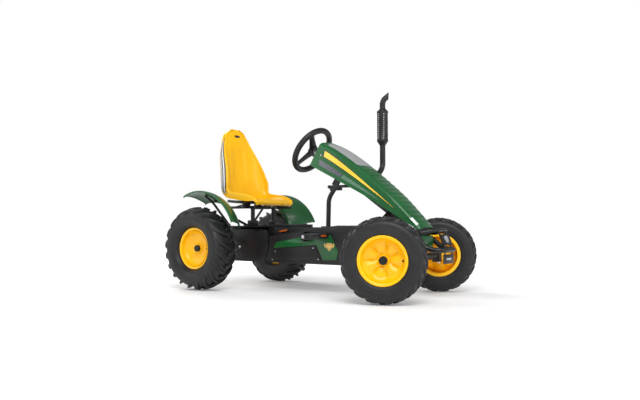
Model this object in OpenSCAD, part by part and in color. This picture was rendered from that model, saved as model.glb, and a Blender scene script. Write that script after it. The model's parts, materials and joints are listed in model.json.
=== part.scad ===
// Pedal go-kart with tractor styling: +X forward, +Y to the driver's left, +Z up.
// The origin is on the floor, midway between the kart's ends and sides.

/* [Overall] */
// Distance from the rear axle to the front kingpins
wheelbase = 1150; // [1000:10:1400]
// Distance between the middles of the rear tyres
rear_track = 700; // [660:5:860]
// Distance between the middles of the front tyres, wheels straight
front_track = 700; // [660:5:860]
// Distance from the middle of the length to the middle of the wheelbase
wheelbase_mid_x = -5; // [-20:1:20]

/* [Wheels] */
// Outer radius of the rear tyres
rear_tyre_r = 230; // [200:1:240]
// Width of the rear tyres
rear_tyre_w = 165; // [140:1:175]
// Outer radius of the front tyres
front_tyre_r = 200; // [180:1:215]
// Width of the front tyres
front_tyre_w = 130; // [118:1:134]
// Radius of the rims where the tyre beads sit
bead_r = 102; // [96:1:108]
// Height of the rim flanges over the bead seat
flange_h = 13; // [8:1:16]
// Width of the front rims over the flanges
front_rim_w = 116; // [100:1:120]
// Width of the rear rims over the flanges
rear_rim_w = 92; // [80:1:110]
// Wall of the rims
rim_wall = 4; // [3:0.5:5]
// Wall of the tyres
tyre_wall = 9; // [6:0.5:12]

/* [Steering] */
// Angle that the front wheels are turned to the left as built
steer_now = 24.5; // [-30:0.5:30]
// Front wheel angle per angle of the steering wheel
steer_ratio = 0.7; // [0.5:0.05:0.9]
// Slope of the steering shaft below level
shaft_slope = 35; // [30:1:40]
// Radius of the steering wheel to the middle of its tube
wheel_ring_r = 126; // [110:1:150]
// Radius of the steering wheel's tube
wheel_tube_r = 16; // [10:0.5:16]
// Radius of the steering shaft
shaft_r = 11; // [9:0.5:12]
// Distance from each kingpin to the middle of its tyre
kingpin_offset = 75; // [72:1:90]
// Length of the steering arms on the knuckles
steer_arm = 90; // [80:1:95]
// Radius of the kingpins
kingpin_r = 6; // [5:0.5:8]
// Radius of the front wheel spindles
spindle_r = 8; // [7:0.5:10]

/* [Frame] */
// Width of the main beam
beam_w = 50; // [40:1:56]
// Height of the main beam
beam_h = 50; // [40:1:60]
// Height of the main beam's top over the floor
beam_top = 347; // [340:1:360]
// Wall of the main beam
beam_wall = 3; // [2:0.5:5]
// Radius of the two front rails
rail_r = 12; // [10:0.5:14]
// Distance of each front rail from the middle
rail_y = 100; // [95:1:110]
// Radius of the front axle's swing bolt
swing_bolt_r = 10; // [8:0.5:12]
// Radius of the rear axle
axle_r = 12.5; // [10:0.5:15]
// Outer radius of the rear axle bearings
bearing_r = 26; // [22:0.5:30]
// Distance of each axle plate from the middle
plate_y = 60; // [56:1:64]
// Distance from the middle to the outside of the side covers
cover_y = 95; // [92:1:98]
// Wall of the moulded covers
cover_wall = 4; // [3:0.5:5]

/* [Drive] */
// Length of the crank arms
crank_arm = 145; // [120:1:155]
// Teeth on the chainring
ring_teeth = 17; // [15:1:17]
// Teeth on the axle sprocket
sprocket_teeth = 13; // [13:1:17]
// Radius of the crank axle
crank_r = 10; // [8:0.5:12]
// Radius of the pedal spindles
pedal_pin_r = 6; // [5:0.5:8]

/* [Seat] */
// Half the distance between the two seat rails
seat_rail_y = 91; // [80:1:100]
// Height of the seat rails
seat_rail_z = 462; // [456:1:464]
// Radius of the seat rails
seat_rail_r = 8; // [7:0.5:8]
// Wall of the seat shell
seat_wall = 8; // [5:0.5:9]

/* [Bodywork] */
// Wall of the hood
hood_wall = 4; // [3:0.5:5]
// Wall of the fenders
fender_wall = 4; // [3:0.5:5]
// Radius of the exhaust pipe
stack_r = 15; // [12:0.5:16]
// Radius of the muffler
muffler_r = 31; // [24:1:34]

/* [Fits] */
// Radial clearance of a shaft that turns or slides in its hole
run_fit = 0.05; // [0.02:0.01:0.1]
// Gap between parts that move past each other
gap = 0.3; // [0.3:0.1:0.6]
// Gap on each side of the steering pin in its slot
pin_play = 7; // [6:0.5:8]

/* [Hidden] */
$fn = 48;

RIGHT = -1;
LEFT = 1;
BLACK = "#1c1d1f";
GREEN = "#1d6b2f";
YELLOW = "#f2b705";
STEEL = "#b9bcc0";

// How far the ball at a tube's corner stands over the tube
ball_over = 0.2;

// Stations along the kart
rear_x = wheelbase_mid_x - wheelbase / 2;
front_x = rear_x + wheelbase;
rear_z = rear_tyre_r;
front_z = front_tyre_r;
kingpin_y = front_track / 2 - kingpin_offset;
flange_r = bead_r + flange_h;

// Main beam, from the axle carrier to the front rails
beam_rear_x = rear_x + 110;
beam_front_x = front_x - 255;
beam_bottom = beam_top - beam_h;
beam_y = beam_w / 2;

// Front head that carries the swinging axle
rail_z = 322;
rail_end_x = front_x + 80;
swing_z = 290;
head_plate = 6;
head_half_gap = 28;
head_bottom = 262;

// Steering shaft, measured along it from the middle of the steering wheel
wheel_x = front_x - 630.5;
wheel_z = 774;
tube_top = 95;
tube_r = 17;
tube_bore_r = 14;
bush_len = 20;
pin_r = 4;
pin_reach = 57;
pin_z = wheel_z - (pin_reach + (front_x - steer_arm - wheel_x) * sin(shaft_slope)) / cos(shaft_slope);
pin_along = (front_x - steer_arm - wheel_x) * cos(shaft_slope) + (wheel_z - pin_z) * sin(shaft_slope);
pitman_t = 6;
tube_end = pin_along - 16;
clamp_along = 240;
clamp_len = 36;
saddle_along = 611;

// Axle yokes and knuckles
yoke_in = 29;
yoke_t = 6;
lug_t = 8;
lug_r = 18;
barrel_r = 16;
barrel_h = 51.4;
arm_t = 8;
eye_r = 11;
eye_h = 12;
stud_r = 5;
arm_top = front_z - barrel_h / 2 + arm_t + 1;
axle_tube_r = 17;

// Front and rear wheel hubs, from the tyre's middle outwards
front_hub_in = 30;
front_hub_out = 16;
front_hub_r = 24;
front_cap_r = 20;
rear_hub_in = 40;
rear_hub_out = 14;
rear_hub_r = 26;
rear_cap_r = 18;
cap_len = 16;

// Pedal drive
crank_x = front_x - 605;
crank_z = 296;
crank_now = 3;
shell_r = 20;
shell_len = 64;
chain_y = 40;
chain_w = 10;
chain_pitch = 12.7;
tooth_h = 2;
chain_gap = 0.4;
chain_t = 4;
ring_r = chain_pitch / 2 / sin(180 / ring_teeth);
sprocket_r = chain_pitch / 2 / sin(180 / sprocket_teeth);
arm_in_y = cover_y + 11;
arm_w_y = 14;
pedal_w = 90;
pedal_l = 64;
pedal_h = 26;

// Seat and its slide
seat_x = rear_x + 160;
rail_back_x = seat_x - 180;
rail_front_x = seat_x + 135;
deck_top = beam_top + 8;
seat_clamp_x = seat_x - 50;
seat_front_x = seat_x + 40;
seat_bar_r = 9;
seat_bar_z = 489;
saddle_len = 40;
saddle_w = 28;

// Seat centre line from the front lip's edge over the pan and up the back: x from seat_x, then z
seat_line = [[80, 472], [91, 488], [74, 504], [20, 506], [-60, 507], [-122, 516], [-158, 548],
    [-176, 610], [-185, 690], [-196, 780], [-205, 840], [-213, 890], [-217, 922], [-219, 935]];
// Half width of the seat, how far its sides rise from the centre line, and how deep its skirt is
seat_shape = [[152, 0, 8], [163, 0, 14], [168, 6, 18], [172, 26, 42], [178, 36, 42], [182, 40, 42],
    [184, 48, 48], [182, 58, 54], [162, 42, 54], [134, 14, 40], [108, 2, 28], [76, -4, 30],
    [44, -3, 28], [14, 0, 24]];

// Hood: top centre line and lower edge from front_x, then half widths at the corner and lower edge
hood_top = [[-506, 807], [-428, 770], [-340, 715], [-250, 651], [-160, 581], [-70, 506], [11, 427], [88, 350]];
hood_low = [[-573, 682], [-497, 644], [-415, 603], [-330, 560], [-240, 514], [-145, 461], [-45, 400], [66, 336]];
hood_half = [[76, 100], [76, 99], [75, 97], [73, 95], [71, 92], [68, 88], [63, 82], [56, 74]];
hood_crown = 8;
hood_shoulder = [14, 11];
hood_screw = [-501, 731];
hood_screw_share = 0.44;

// Fender arcs round a point near the rear axle, from the front tip to the rear tip
fender_from = 23.6;
fender_to = 115;
fender_x = rear_x + 3;
fender_z = rear_z + 35.5;
fender_out_r = 286;
fender_in_r = [195, 246];
fender_y_in = rear_track / 2 - 133;
fender_y_out = rear_track / 2 + 20;
fender_lip = 12;

// Side cover outline from front_x, and the panels on it
cover_back_x = rear_x + 283;
hub_cover_back_x = rear_x - 70;
hub_cover_front_x = cover_back_x - 6;
panel_t = 3;
inlay_t = 4;
cover_line = [[-858, 296], [-565, 341], [-475, 348], [-396, 357], [-320, 355], [-284, 345], [-238, 292],
    [-232, 205], [-300, 150], [-895, 150], [-864, 228]];
inlay_line = [[-832, 230], [-809, 263], [-612, 298], [-518, 310], [-439, 306], [-389, 223], [-401, 176],
    [-488, 173], [-531, 254], [-806, 232]];
panel_line = [[-832, 226], [-536, 247], [-498, 168], [-850, 160]];
screw_spots = [[-816, 212], [-837, 167], [-551, 235], [-518, 177]];
crank_hole_r = 26;

// Exhaust stack
stack_x = front_x - 267;
stack_y = 150;
stack_foot_z = 624;
stack_bend_z = 672;
muffler_z = [789, 812, 976, 994];
stack_turn_z = 1035;
outlet_r = 15.5;
// Heading and rise of the outlet, and the distance of its upright cut from the stack
outlet_yaw = 36;
outlet_rise = 39;
outlet_reach = 32;

// Bumper
bumper_r = 9;
bumper_low_r = 13;
bumper_top_x = front_x + 152;
bumper_top_z = 335;
bumper_top_y = 60;
bumper_low_x = front_x + 190;
bumper_low_z = 240;
bumper_low_y = 62;
strut_r = 4;
strut_y = 38;

function radial(r, a) = [r * cos(a), r * sin(a)];

// A smooth curve through the points p, at u from 0 to 1
function spline(p, u) =
    let (n = len(p) - 1, s = u * n, i = min(floor(s), n - 1), t = s - i,
        a = p[max(i - 1, 0)], b = p[i], c = p[i + 1], d = p[min(i + 2, n)])
    b + ((c - a) * t + (2 * a - 5 * b + 4 * c - d) * t * t + (3 * b - a - 3 * c + d) * t * t * t) / 2;

// The outline p moved inwards by d; its points run clockwise
function inset(p, d) = [for (i = [0 : len(p) - 1])
    let (n = len(p), a = p[(i + n - 1) % n], b = p[i], c = p[(i + 1) % n],
        u = (b - a) / norm(b - a), v = (c - b) / norm(c - b),
        m = [u[1], -u[0]] + [v[1], -v[0]])
    b + m * (2 * d / (m * m))];

// Upright tyre section, outer side first, as points from the spin axis
function tyre_side(r, w, seat, low) =
    let (mid = low + (r - low) * 0.45)
    concat([for (a = [-90 : 15 : -15]) [mid + (mid - low) * sin(a), seat + (w - seat) * cos(a)]],
        [for (a = [0 : 9 : 90]) [mid + (r - mid) * pow(sin(a), 0.75), w * pow(cos(a), 0.75)]]);

function mirrored(p) = [for (i = [len(p) - 1 : -1 : 0]) [p[i][0], -p[i][1]]];

// A cylinder from a to b
module rod(a, b, r) {
    d = b - a;
    translate(a)
        rotate([0, acos(d[2] / norm(d)), atan2(d[1], d[0])])
            cylinder(h = norm(d), r = r);
}

function unit(v) = v / norm(v);

// A round bar along the points, with a ball at each corner whose poles and seam lie inside the bars
module pipe(points, r) {
    for (i = [0 : len(points) - 2]) rod(points[i], points[i + 1], r);
    for (i = [1 : len(points) - 2]) {
        z = unit(points[i + 1] - points[i]);
        inward = z - unit(points[i] - points[i - 1]);
        x = unit(inward - (inward * z) * z);
        y = cross(z, x);
        p = points[i];
        multmatrix([[x[0], y[0], z[0], p[0]], [x[1], y[1], z[1], p[1]], [x[2], y[2], z[2], p[2]]])
            sphere(r + ball_over);
    }
}

// A closed sheet between two grids of points with the same rows and columns
module sheet(outer, inner) {
    m = len(outer);
    k = len(outer[0]);
    points = concat([for (row = outer) each row], [for (row = inner) each row]);
    b = m * k;
    quads = concat(
        [for (i = [0 : m - 2], j = [0 : k - 2]) [i * k + j, (i + 1) * k + j, (i + 1) * k + j + 1, i * k + j + 1]],
        [for (i = [0 : m - 2], j = [0 : k - 2])
            [b + i * k + j, b + i * k + j + 1, b + (i + 1) * k + j + 1, b + (i + 1) * k + j]],
        [for (i = [0 : m - 2]) [(i + 1) * k, i * k, b + i * k, b + (i + 1) * k]],
        [for (i = [0 : m - 2]) [i * k + k - 1, (i + 1) * k + k - 1, b + (i + 1) * k + k - 1, b + i * k + k - 1]],
        [for (j = [0 : k - 2]) [j, j + 1, b + j + 1, b + j]],
        [for (j = [0 : k - 2]) [b - k + j + 1, b - k + j, 2 * b - k + j, 2 * b - k + j + 1]]);
    polyhedron(points, [for (q = quads) each [[q[0], q[1], q[2]], [q[0], q[2], q[3]]]], convexity = 6);
}

// Puts an outline given in x and z on the side plane at y, t thick towards +Y
module side_plate(y, t) {
    translate([0, y + t, 0]) rotate([90, 0, 0]) linear_extrude(t) children();
}

// Steering shaft frame: local z down the shaft, local x away from the driver's view of up
module on_shaft(along = 0) {
    translate([wheel_x, 0, wheel_z]) rotate([0, 90 + shaft_slope, 0]) translate([0, 0, along]) children();
}

// Frame of a kingpin, turned with its wheel
module on_kingpin(side) {
    translate([front_x, side * kingpin_y, 0]) rotate([0, 0, steer_now]) children();
}

// Frame of a front wheel: local z outwards along the spindle from the tyre's middle
module on_front_wheel(side) {
    on_kingpin(side)
        translate([0, side * kingpin_offset, front_z]) rotate([-90 * side, 0, 0]) children();
}

// Frame of a rear wheel: local z outwards along the axle from the tyre's middle
module on_rear_wheel(side) {
    translate([rear_x, side * rear_track / 2, rear_z]) rotate([-90 * side, 0, 0]) children();
}

// ---- Frame ----

module main_beam() {
    color(BLACK) difference() {
        translate([beam_rear_x, -beam_y, beam_bottom])
            cube([beam_front_x - beam_rear_x, beam_w, beam_h]);
        translate([beam_rear_x - 1, -beam_y + beam_wall, beam_bottom + beam_wall])
            cube([beam_front_x - beam_rear_x + 2, beam_w - 2 * beam_wall, beam_h - 2 * beam_wall]);
        translate([crank_x, 0, crank_z]) rotate([90, 0, 0]) cylinder(h = beam_w + 2, r = shell_r, center = true);
    }
}

plate_t = 6;
cross_t = 30;
hitch_t = 8;
hitch_x = rear_x - 45;
hitch_hole_r = 5.25;
hitch_spacing = 50;
carrier_line = [[-45, 190], [-45, 300], [-45, 347], [140, 347], [140, 300], [45, 190]];

module rear_carrier() {
    color(BLACK) difference() {
        union() {
            for (side = [RIGHT, LEFT])
                side_plate(side == RIGHT ? -plate_y - plate_t : plate_y, plate_t)
                    polygon([for (p = carrier_line)
                        [rear_x + p[0], p[1] == 190 ? rear_z - 40 : p[1] == 347 ? beam_top : p[1]]]);
            translate([beam_rear_x - cross_t, -plate_y, beam_bottom]) cube([cross_t, 2 * plate_y, beam_h]);
            translate([hitch_x, -plate_y, beam_bottom]) cube([hitch_t, 2 * plate_y, beam_h]);
        }
        translate([rear_x, 0, rear_z]) rotate([90, 0, 0])
            cylinder(h = 2 * (plate_y + plate_t) + 2, r = bearing_r, center = true);
        for (side = [RIGHT, LEFT])
            translate([hitch_x - 1, side * hitch_spacing / 2, beam_top - beam_h / 2]) rotate([0, 90, 0])
                cylinder(h = hitch_t + 2, r = hitch_hole_r);
    }
}

bearing_t = 14;

module axle_bearings() {
    color(STEEL) for (side = [RIGHT, LEFT])
        translate([rear_x, side * (plate_y + plate_t / 2), rear_z]) rotate([90, 0, 0]) difference() {
            cylinder(h = bearing_t, r = bearing_r, center = true);
            cylinder(h = bearing_t + 2, r = axle_r + run_fit, center = true);
        }
}

module bottom_bracket() {
    color(BLACK) translate([crank_x, 0, crank_z]) rotate([90, 0, 0]) difference() {
        cylinder(h = shell_len, r = shell_r, center = true);
        cylinder(h = shell_len + 2, r = crank_r + run_fit, center = true);
    }
}

rail_start_y = 45;
rail_spread = 56;
tab_y = 40;
saddle_top_y = 26;
saddle_t = 6;
saddle_drop = 118;
hood_shelf_len = 34;
arm_foot_z = 296;

// Half the width of the plates between the rails, which end inside the tubes
head_y = rail_y - 3;

module front_subframe() {
    color(BLACK) difference() {
        union() {
            translate([beam_front_x, -rail_start_y - rail_r, beam_bottom])
                cube([head_plate, 2 * (rail_start_y + rail_r), beam_h]);
            for (side = [RIGHT, LEFT])
                pipe([[beam_front_x + 2, side * rail_start_y, rail_z],
                    [beam_front_x + head_plate + rail_r, side * rail_start_y, rail_z],
                    [beam_front_x + head_plate + rail_spread, side * rail_y, rail_z],
                    [rail_end_x, side * rail_y, rail_z]], rail_r);
            for (x = [front_x - head_half_gap - head_plate, front_x + head_half_gap]) {
                translate([x, -tab_y, head_bottom]) cube([head_plate, 2 * tab_y, rail_z - head_bottom + 8]);
                translate([x, -head_y, rail_z - 8]) cube([head_plate, 2 * head_y, 16]);
            }
            translate([front_x + head_half_gap, -head_y, arm_foot_z - bumper_low_r])
                cube([head_plate, 2 * head_y, rail_z - arm_foot_z + bumper_low_r]);
            translate([rail_end_x - hood_shelf_len, -head_y, rail_z + 4])
                cube([hood_shelf_len, 2 * head_y, hood_low[7][1] - gap - rail_z - 4]);
            on_shaft(saddle_along)
                linear_extrude(saddle_t, center = true)
                    polygon([[-saddle_top_y, -saddle_top_y], [-saddle_top_y, saddle_top_y],
                        [saddle_drop, head_y], [saddle_drop, -head_y]]);
        }
        translate([front_x, 0, swing_z]) rotate([0, 90, 0])
            cylinder(h = 2 * (head_half_gap + head_plate) + 2, r = swing_bolt_r, center = true);
        on_shaft(saddle_along) cylinder(h = 4 * saddle_t, r = tube_r, center = true);
        on_shaft(saddle_along)
            translate([2 * saddle_top_y + 18, -rail_y + 42, -saddle_t])
                cube([saddle_drop, 2 * rail_y - 84, 2 * saddle_t]);
    }
}

bolt_head_t = 8;

module swing_bolt() {
    color(STEEL) translate([front_x, 0, swing_z]) rotate([0, 90, 0]) {
        cylinder(h = 2 * (head_half_gap + head_plate) + 8, r = swing_bolt_r, center = true);
        for (end = [-1, 1])
            translate([0, 0, end * (head_half_gap + head_plate + bolt_head_t / 2)])
                cylinder(h = bolt_head_t, r = swing_bolt_r * 1.6, center = true, $fn = 6);
    }
}

post_r = 12.5;
post_x = wheel_x + 108.5;
post_bend_z = 505;
post_top = [wheel_x + 148, 552];
post_plate = 6;
post_head = [60, 36, 14];
clamp_plate_t = 14;

module column_post() {
    color(BLACK) {
        translate([post_x - 30, -beam_y, beam_top]) cube([60, beam_w, post_plate]);
        pipe([[post_x, 0, beam_top + post_plate / 2], [post_x + 4, 0, post_bend_z],
            [post_top[0], 0, post_top[1]]], post_r);
        translate([post_top[0] - 18, -post_head[1] / 2, post_top[1] - 6]) cube(post_head);
    }
}

clamp_ring_r = 25;
clamp_z = post_top[1] - 6 + post_head[2];
clamp_len_x = 112;
clamp_web = 16;

module column_clamp() {
    color(BLACK) difference() {
        union() {
            on_shaft(clamp_along) cylinder(h = clamp_len, r = clamp_ring_r, center = true);
            on_shaft(clamp_along)
                translate([tube_r + 1, -clamp_web / 2, -clamp_len / 2]) cube([62, clamp_web, clamp_len]);
            translate([post_top[0] - 22, -post_head[1] / 2, clamp_z])
                cube([clamp_len_x, post_head[1], clamp_plate_t]);
        }
        on_shaft(clamp_along) cylinder(h = clamp_len * 2, r = tube_r, center = true);
    }
}

knob_r = 9;
knob_len = 16;

module height_knob() {
    color(BLACK) translate([post_top[0] - 22, 0, clamp_z + clamp_plate_t / 2]) rotate([0, -90, 0]) {
        cylinder(h = 6, r = knob_r / 2);
        translate([0, 0, 6]) cylinder(h = knob_len - 6, r = knob_r);
    }
}

module steering_tube() {
    color(BLACK) on_shaft() difference() {
        translate([0, 0, tube_top]) cylinder(h = tube_end - tube_top, r = tube_r);
        translate([0, 0, tube_top - 1]) cylinder(h = tube_end - tube_top + 2, r = shaft_r + run_fit);
        translate([0, 0, tube_top + bush_len])
            cylinder(h = tube_end - tube_top - 2 * bush_len, r = tube_bore_r);
    }
}

// ---- Bodywork ----

// Half of a hood section as [y, drop] from the top centre to the lower edge
function hood_side(half, depth, wall) =
    let (yt = half[0] - wall * 0.4, ys = half[0] + hood_shoulder[0] - wall, yb = half[1] - wall,
        crown = min(hood_crown, depth * 0.3), drop = crown + min(hood_shoulder[1], depth * 0.35))
    concat([for (k = [0 : 3]) [yt * k / 3, wall + crown * k * k / 9]],
        [for (k = [1 : 3]) [yt + (ys - yt) * k / 3, wall + crown + (drop - crown) * pow(k / 3, 1.4)]],
        [for (k = [1 : 3]) [ys + (yb - ys) * k / 3, wall + drop + (depth - wall - drop) * k / 3]]);

function hood_row(u, wall) =
    let (t = spline(hood_top, u), b = spline(hood_low, u), h = spline(hood_half, u), depth = norm(b - t),
        down = (b - t) / depth, s = hood_side(h, depth, wall), n = len(s))
    [for (k = [-(n - 1) : n - 1]) let (q = s[abs(k)])
        [front_x + t[0] + down[0] * q[1], sign(k) * q[0], t[1] + down[1] * q[1]]];

hood_rows = 18;

module hood() {
    color(GREEN) sheet([for (i = [0 : hood_rows]) hood_row(i / hood_rows, 0)],
        [for (i = [0 : hood_rows]) hood_row(i / hood_rows, hood_wall)]);
}

nose_t = 4;
nose_bottom = 246;

module nose_cover() {
    size = [42, 124, 62];
    color(GREEN) translate([front_x + head_half_gap + head_plate, -size[1] / 2, nose_bottom]) difference() {
        cube(size);
        translate([-1, nose_t, nose_t]) cube([size[0] - nose_t + 1, size[1] - 2 * nose_t, size[2]]);
    }
}

flange_tilt = 4.5;
flange_y = 92.1;

module exhaust() {
    level = cos(outlet_rise);
    way = [level * cos(outlet_yaw), level * sin(outlet_yaw), sin(outlet_rise)];
    turn = [stack_x, stack_y, stack_turn_z];
    color(BLACK) difference() {
        union() {
            translate([stack_x, flange_y, stack_foot_z]) rotate([90 + flange_tilt, 0, 0])
                cylinder(h = 5, r = stack_r + 8, center = true);
            pipe([[stack_x, flange_y + stack_r / 2, stack_foot_z + 5], [stack_x, stack_y, stack_bend_z],
                [stack_x, stack_y, muffler_z[0] + 5]], stack_r);
            translate([stack_x, stack_y, 0]) rotate_extrude()
                polygon([[0, muffler_z[0]], [stack_r, muffler_z[0]], [muffler_r, muffler_z[1]],
                    [muffler_r, muffler_z[2]], [outlet_r, muffler_z[3]], [0, muffler_z[3]]]);
            pipe([[stack_x, stack_y, muffler_z[3] - 5], turn, turn + way * 2 * outlet_reach], outlet_r);
        }
        translate(turn) rotate([0, 0, outlet_yaw]) translate([outlet_reach, -50, -25]) cube(100);
        rod(turn + way * outlet_reach / 2, turn + way * 3 * outlet_reach, outlet_r - 3);
    }
}

arm_foot_x = front_x + head_half_gap + head_plate;
arm_foot_y = rail_y - 12;
arm_bend_x = front_x + 130;

module bumper() {
    color(BLACK) {
        pipe([[rail_end_x, -rail_y, rail_z], [rail_end_x + bumper_r + 1, -rail_y, rail_z],
            [bumper_top_x, -bumper_top_y, bumper_top_z], [bumper_top_x, bumper_top_y, bumper_top_z],
            [rail_end_x + bumper_r + 1, rail_y, rail_z], [rail_end_x, rail_y, rail_z]], bumper_r);
        pipe([[arm_foot_x, -arm_foot_y, arm_foot_z], [arm_foot_x + bumper_low_r + 1, -arm_foot_y, arm_foot_z],
            [arm_bend_x, -arm_foot_y + 6, bumper_low_z], [bumper_low_x, -bumper_low_y, bumper_low_z],
            [bumper_low_x, bumper_low_y, bumper_low_z], [arm_bend_x, arm_foot_y - 6, bumper_low_z],
            [arm_foot_x + bumper_low_r + 1, arm_foot_y, arm_foot_z], [arm_foot_x, arm_foot_y, arm_foot_z]],
            bumper_low_r);
        for (side = [RIGHT, LEFT])
            rod([bumper_top_x, side * strut_y, bumper_top_z], [bumper_low_x, side * strut_y, bumper_low_z],
                strut_r);
    }
}

plate_lean = atan2(bumper_low_x - bumper_top_x, bumper_top_z - bumper_low_z);

emblem_size = [4, 94, 56];

module emblem_plate() {
    color(STEEL)
        translate([(bumper_top_x + bumper_low_x) / 2, 0, (bumper_top_z + bumper_low_z) / 2])
            rotate([0, -plate_lean, 0])
                translate([strut_r, -emblem_size[1] / 2, -emblem_size[2] / 2]) cube(emblem_size);
}

number_size = [4, 110, 44];
number_tab = [4, 12, 8];

module number_plate() {
    tab_z = bumper_low_z - bumper_low_r - number_tab[2];
    color(STEEL) {
        translate([bumper_low_x - number_size[0], -number_size[1] / 2, tab_z - number_size[2]]) cube(number_size);
        for (side = [RIGHT, LEFT])
            translate([bumper_low_x - number_tab[0], side * strut_y - number_tab[1] / 2, tab_z]) cube(number_tab);
    }
}

screw_r = 4;
screw_t = 2.5;
hood_shoulder_y = hood_half[0][0] + hood_shoulder[0];
hood_screw_y = hood_shoulder_y + (hood_half[0][1] - hood_shoulder_y) * hood_screw_share;

module trim_screws() {
    color(STEEL) {
        for (side = [RIGHT, LEFT], p = screw_spots)
            translate([front_x + p[0], side * (cover_y + panel_t), p[1]]) rotate([-90 * side, 0, 0])
                cylinder(h = screw_t, r = screw_r);
        for (side = [RIGHT, LEFT])
            translate([front_x + hood_screw[0], side * (hood_screw_y + gap), hood_screw[1]]) rotate([-90 * side, 0, 0])
                cylinder(h = screw_t, r = screw_r + 1);
    }
}

ridge_y = 58;

// The side cover's outline, clockwise, stretched at the back to meet the hub cover
cover_shift = cover_back_x - front_x + 867;
function cover_outline() = [for (p = cover_line) [front_x + p[0] + (p[0] < -800 ? cover_shift : 0), p[1]]];

// An outline filled between two distances from the middle, on the given side
module side_block(side, from, to) {
    side_plate(side == RIGHT ? -to : from, to - from) children();
}

// A pan with a higher ridge beside the beam, which houses the chain on the left
module side_cover(side) {
    line = cover_outline();
    ridge = [for (i = [0 : len(line) - 1]) i < 2 ? [line[i][0], beam_top] : line[i]];
    near = beam_y + gap;
    color(BLACK) difference() {
        union() {
            side_block(side, near, cover_y) polygon(line);
            side_block(side, near, ridge_y) polygon(ridge);
        }
        side_block(side, near - 1, cover_y - cover_wall) polygon(inset(line, cover_wall));
        side_block(side, near - 1, ridge_y - cover_wall) polygon(inset(ridge, cover_wall));
        translate([crank_x, 0, crank_z]) rotate([90, 0, 0])
            cylinder(h = 3 * cover_y, r = crank_hole_r, center = true);
        translate([beam_front_x - 10, -cover_y + cover_wall, beam_bottom - 12])
            cube([200, 2 * (cover_y - cover_wall), beam_h + 24]);
        if (side == LEFT)
            translate([cover_back_x - 45, chain_y - chain_w, rear_z - 15]) cube([90, 2 * chain_w, 100]);
    }
}

module side_cover_right() { side_cover(RIGHT); }
module side_cover_left() { side_cover(LEFT); }

module cover_inlays() {
    color(GREEN) for (side = [RIGHT, LEFT]) difference() {
        side_plate(side == RIGHT ? -cover_y - inlay_t : cover_y, inlay_t)
            polygon([for (p = inlay_line) [front_x + p[0], p[1]]]);
        translate([crank_x, 0, crank_z]) rotate([90, 0, 0])
            cylinder(h = 3 * cover_y, r = crank_hole_r, center = true);
    }
}

module step_panels() {
    color(BLACK) for (side = [RIGHT, LEFT])
        side_plate(side == RIGHT ? -cover_y - panel_t : cover_y, panel_t)
            polygon([for (p = panel_line) [front_x + p[0], p[1]]]);
}

hub_line = [[0, 230], [12, 290], [40, 326], [80, 338], [250, 338], [300, 330], [318, 296], [326, 228],
    [296, 150], [60, 150], [14, 176]];
hub_hole_r = 34;

module hub_cover(side) {
    stretch = hub_cover_front_x - hub_cover_back_x - 347 + 21;
    line = [for (p = hub_line) [hub_cover_back_x + p[0] + (p[0] > 200 ? stretch : 0), p[1]]];
    inner_y = plate_y + plate_t + gap;
    depth = cover_y - 3 - inner_y;
    color(BLACK) difference() {
        side_plate(side == RIGHT ? -inner_y - depth : inner_y, depth) polygon(line);
        side_plate(side == RIGHT ? -inner_y - depth + cover_wall : inner_y - 1, depth - cover_wall + 1)
            polygon(inset(line, cover_wall));
        translate([rear_x, 0, rear_z]) rotate([90, 0, 0]) cylinder(h = 3 * cover_y, r = hub_hole_r, center = true);
    }
}

module hub_cover_right() { hub_cover(RIGHT); }
module hub_cover_left() { hub_cover(LEFT); }

deck_y = 115;
spine_y = 32;
spine_end_x = seat_x + 340;
base_size = [50, 40, 32];

module rear_deck() {
    color(BLACK) {
        translate([rear_x - 40, -deck_y, beam_top]) cube([seat_x + 70 - rear_x + 40, 2 * deck_y, deck_top - beam_top]);
        translate([rear_x + 60, -spine_y, beam_top]) cube([spine_end_x - rear_x - 60, 2 * spine_y, 16]);
    }
}

seat_post_r = 12;

module seat_posts() {
    color(BLACK) for (side = [RIGHT, LEFT]) {
        translate([seat_x - base_size[0] / 2, side * seat_rail_y - base_size[1] / 2, deck_top]) cube(base_size);
        translate([seat_x, side * seat_rail_y, deck_top])
            cylinder(h = seat_rail_z - 5 - deck_top, r = seat_post_r);
        rod([rail_back_x, side * seat_rail_y, seat_rail_z], [rail_front_x, side * seat_rail_y, seat_rail_z],
            seat_rail_r);
    }
}

// A point on a fender: t from front tip to rear tip, v from inner to outer edge, sunk by drop
function fender_point(side, t, v, drop) =
    let (a = fender_from + (fender_to - fender_from) * t,
        r_in = fender_in_r[0] + (fender_in_r[1] - fender_in_r[0]) * t,
        bow = 14 * sin(180 * v),
        r = r_in + (fender_out_r - r_in) * v + bow - drop,
        y = fender_y_in + (fender_y_out - fender_y_in) * v)
    [fender_x + r * cos(a), side * y, fender_z + r * sin(a)];

// Outer lip: the sheet turns down at its outer edge
function fender_edge(side, t, drop, wall) =
    let (p = fender_point(side, t, 1, drop)) [p[0], p[1] + side * (2 - wall), p[2]];

function fender_row(side, t, wall) = concat(
    [fender_point(side, t, 0, fender_lip)], [for (k = [0 : 8]) fender_point(side, t, k / 8, wall)],
    [fender_edge(side, t, 5, wall), fender_edge(side, t, fender_lip, wall)]);

fender_rows = 20;

module fender(side) {
    outer = [for (i = [0 : fender_rows]) fender_row(side, i / fender_rows, 0)];
    inner = [for (i = [0 : fender_rows]) fender_row(side, i / fender_rows, fender_wall)];
    color(GREEN)
        if (side == RIGHT) sheet(outer, inner);
        else sheet([for (r = outer) [for (k = [len(r) - 1 : -1 : 0]) r[k]]],
            [for (r = inner) [for (k = [len(r) - 1 : -1 : 0]) r[k]]]);
}

module fender_right() { fender(RIGHT); }
module fender_left() { fender(LEFT); }

bracket_r = 7;
bracket_foot = 12;
bracket_spots = [0.2, 0.8];

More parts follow.
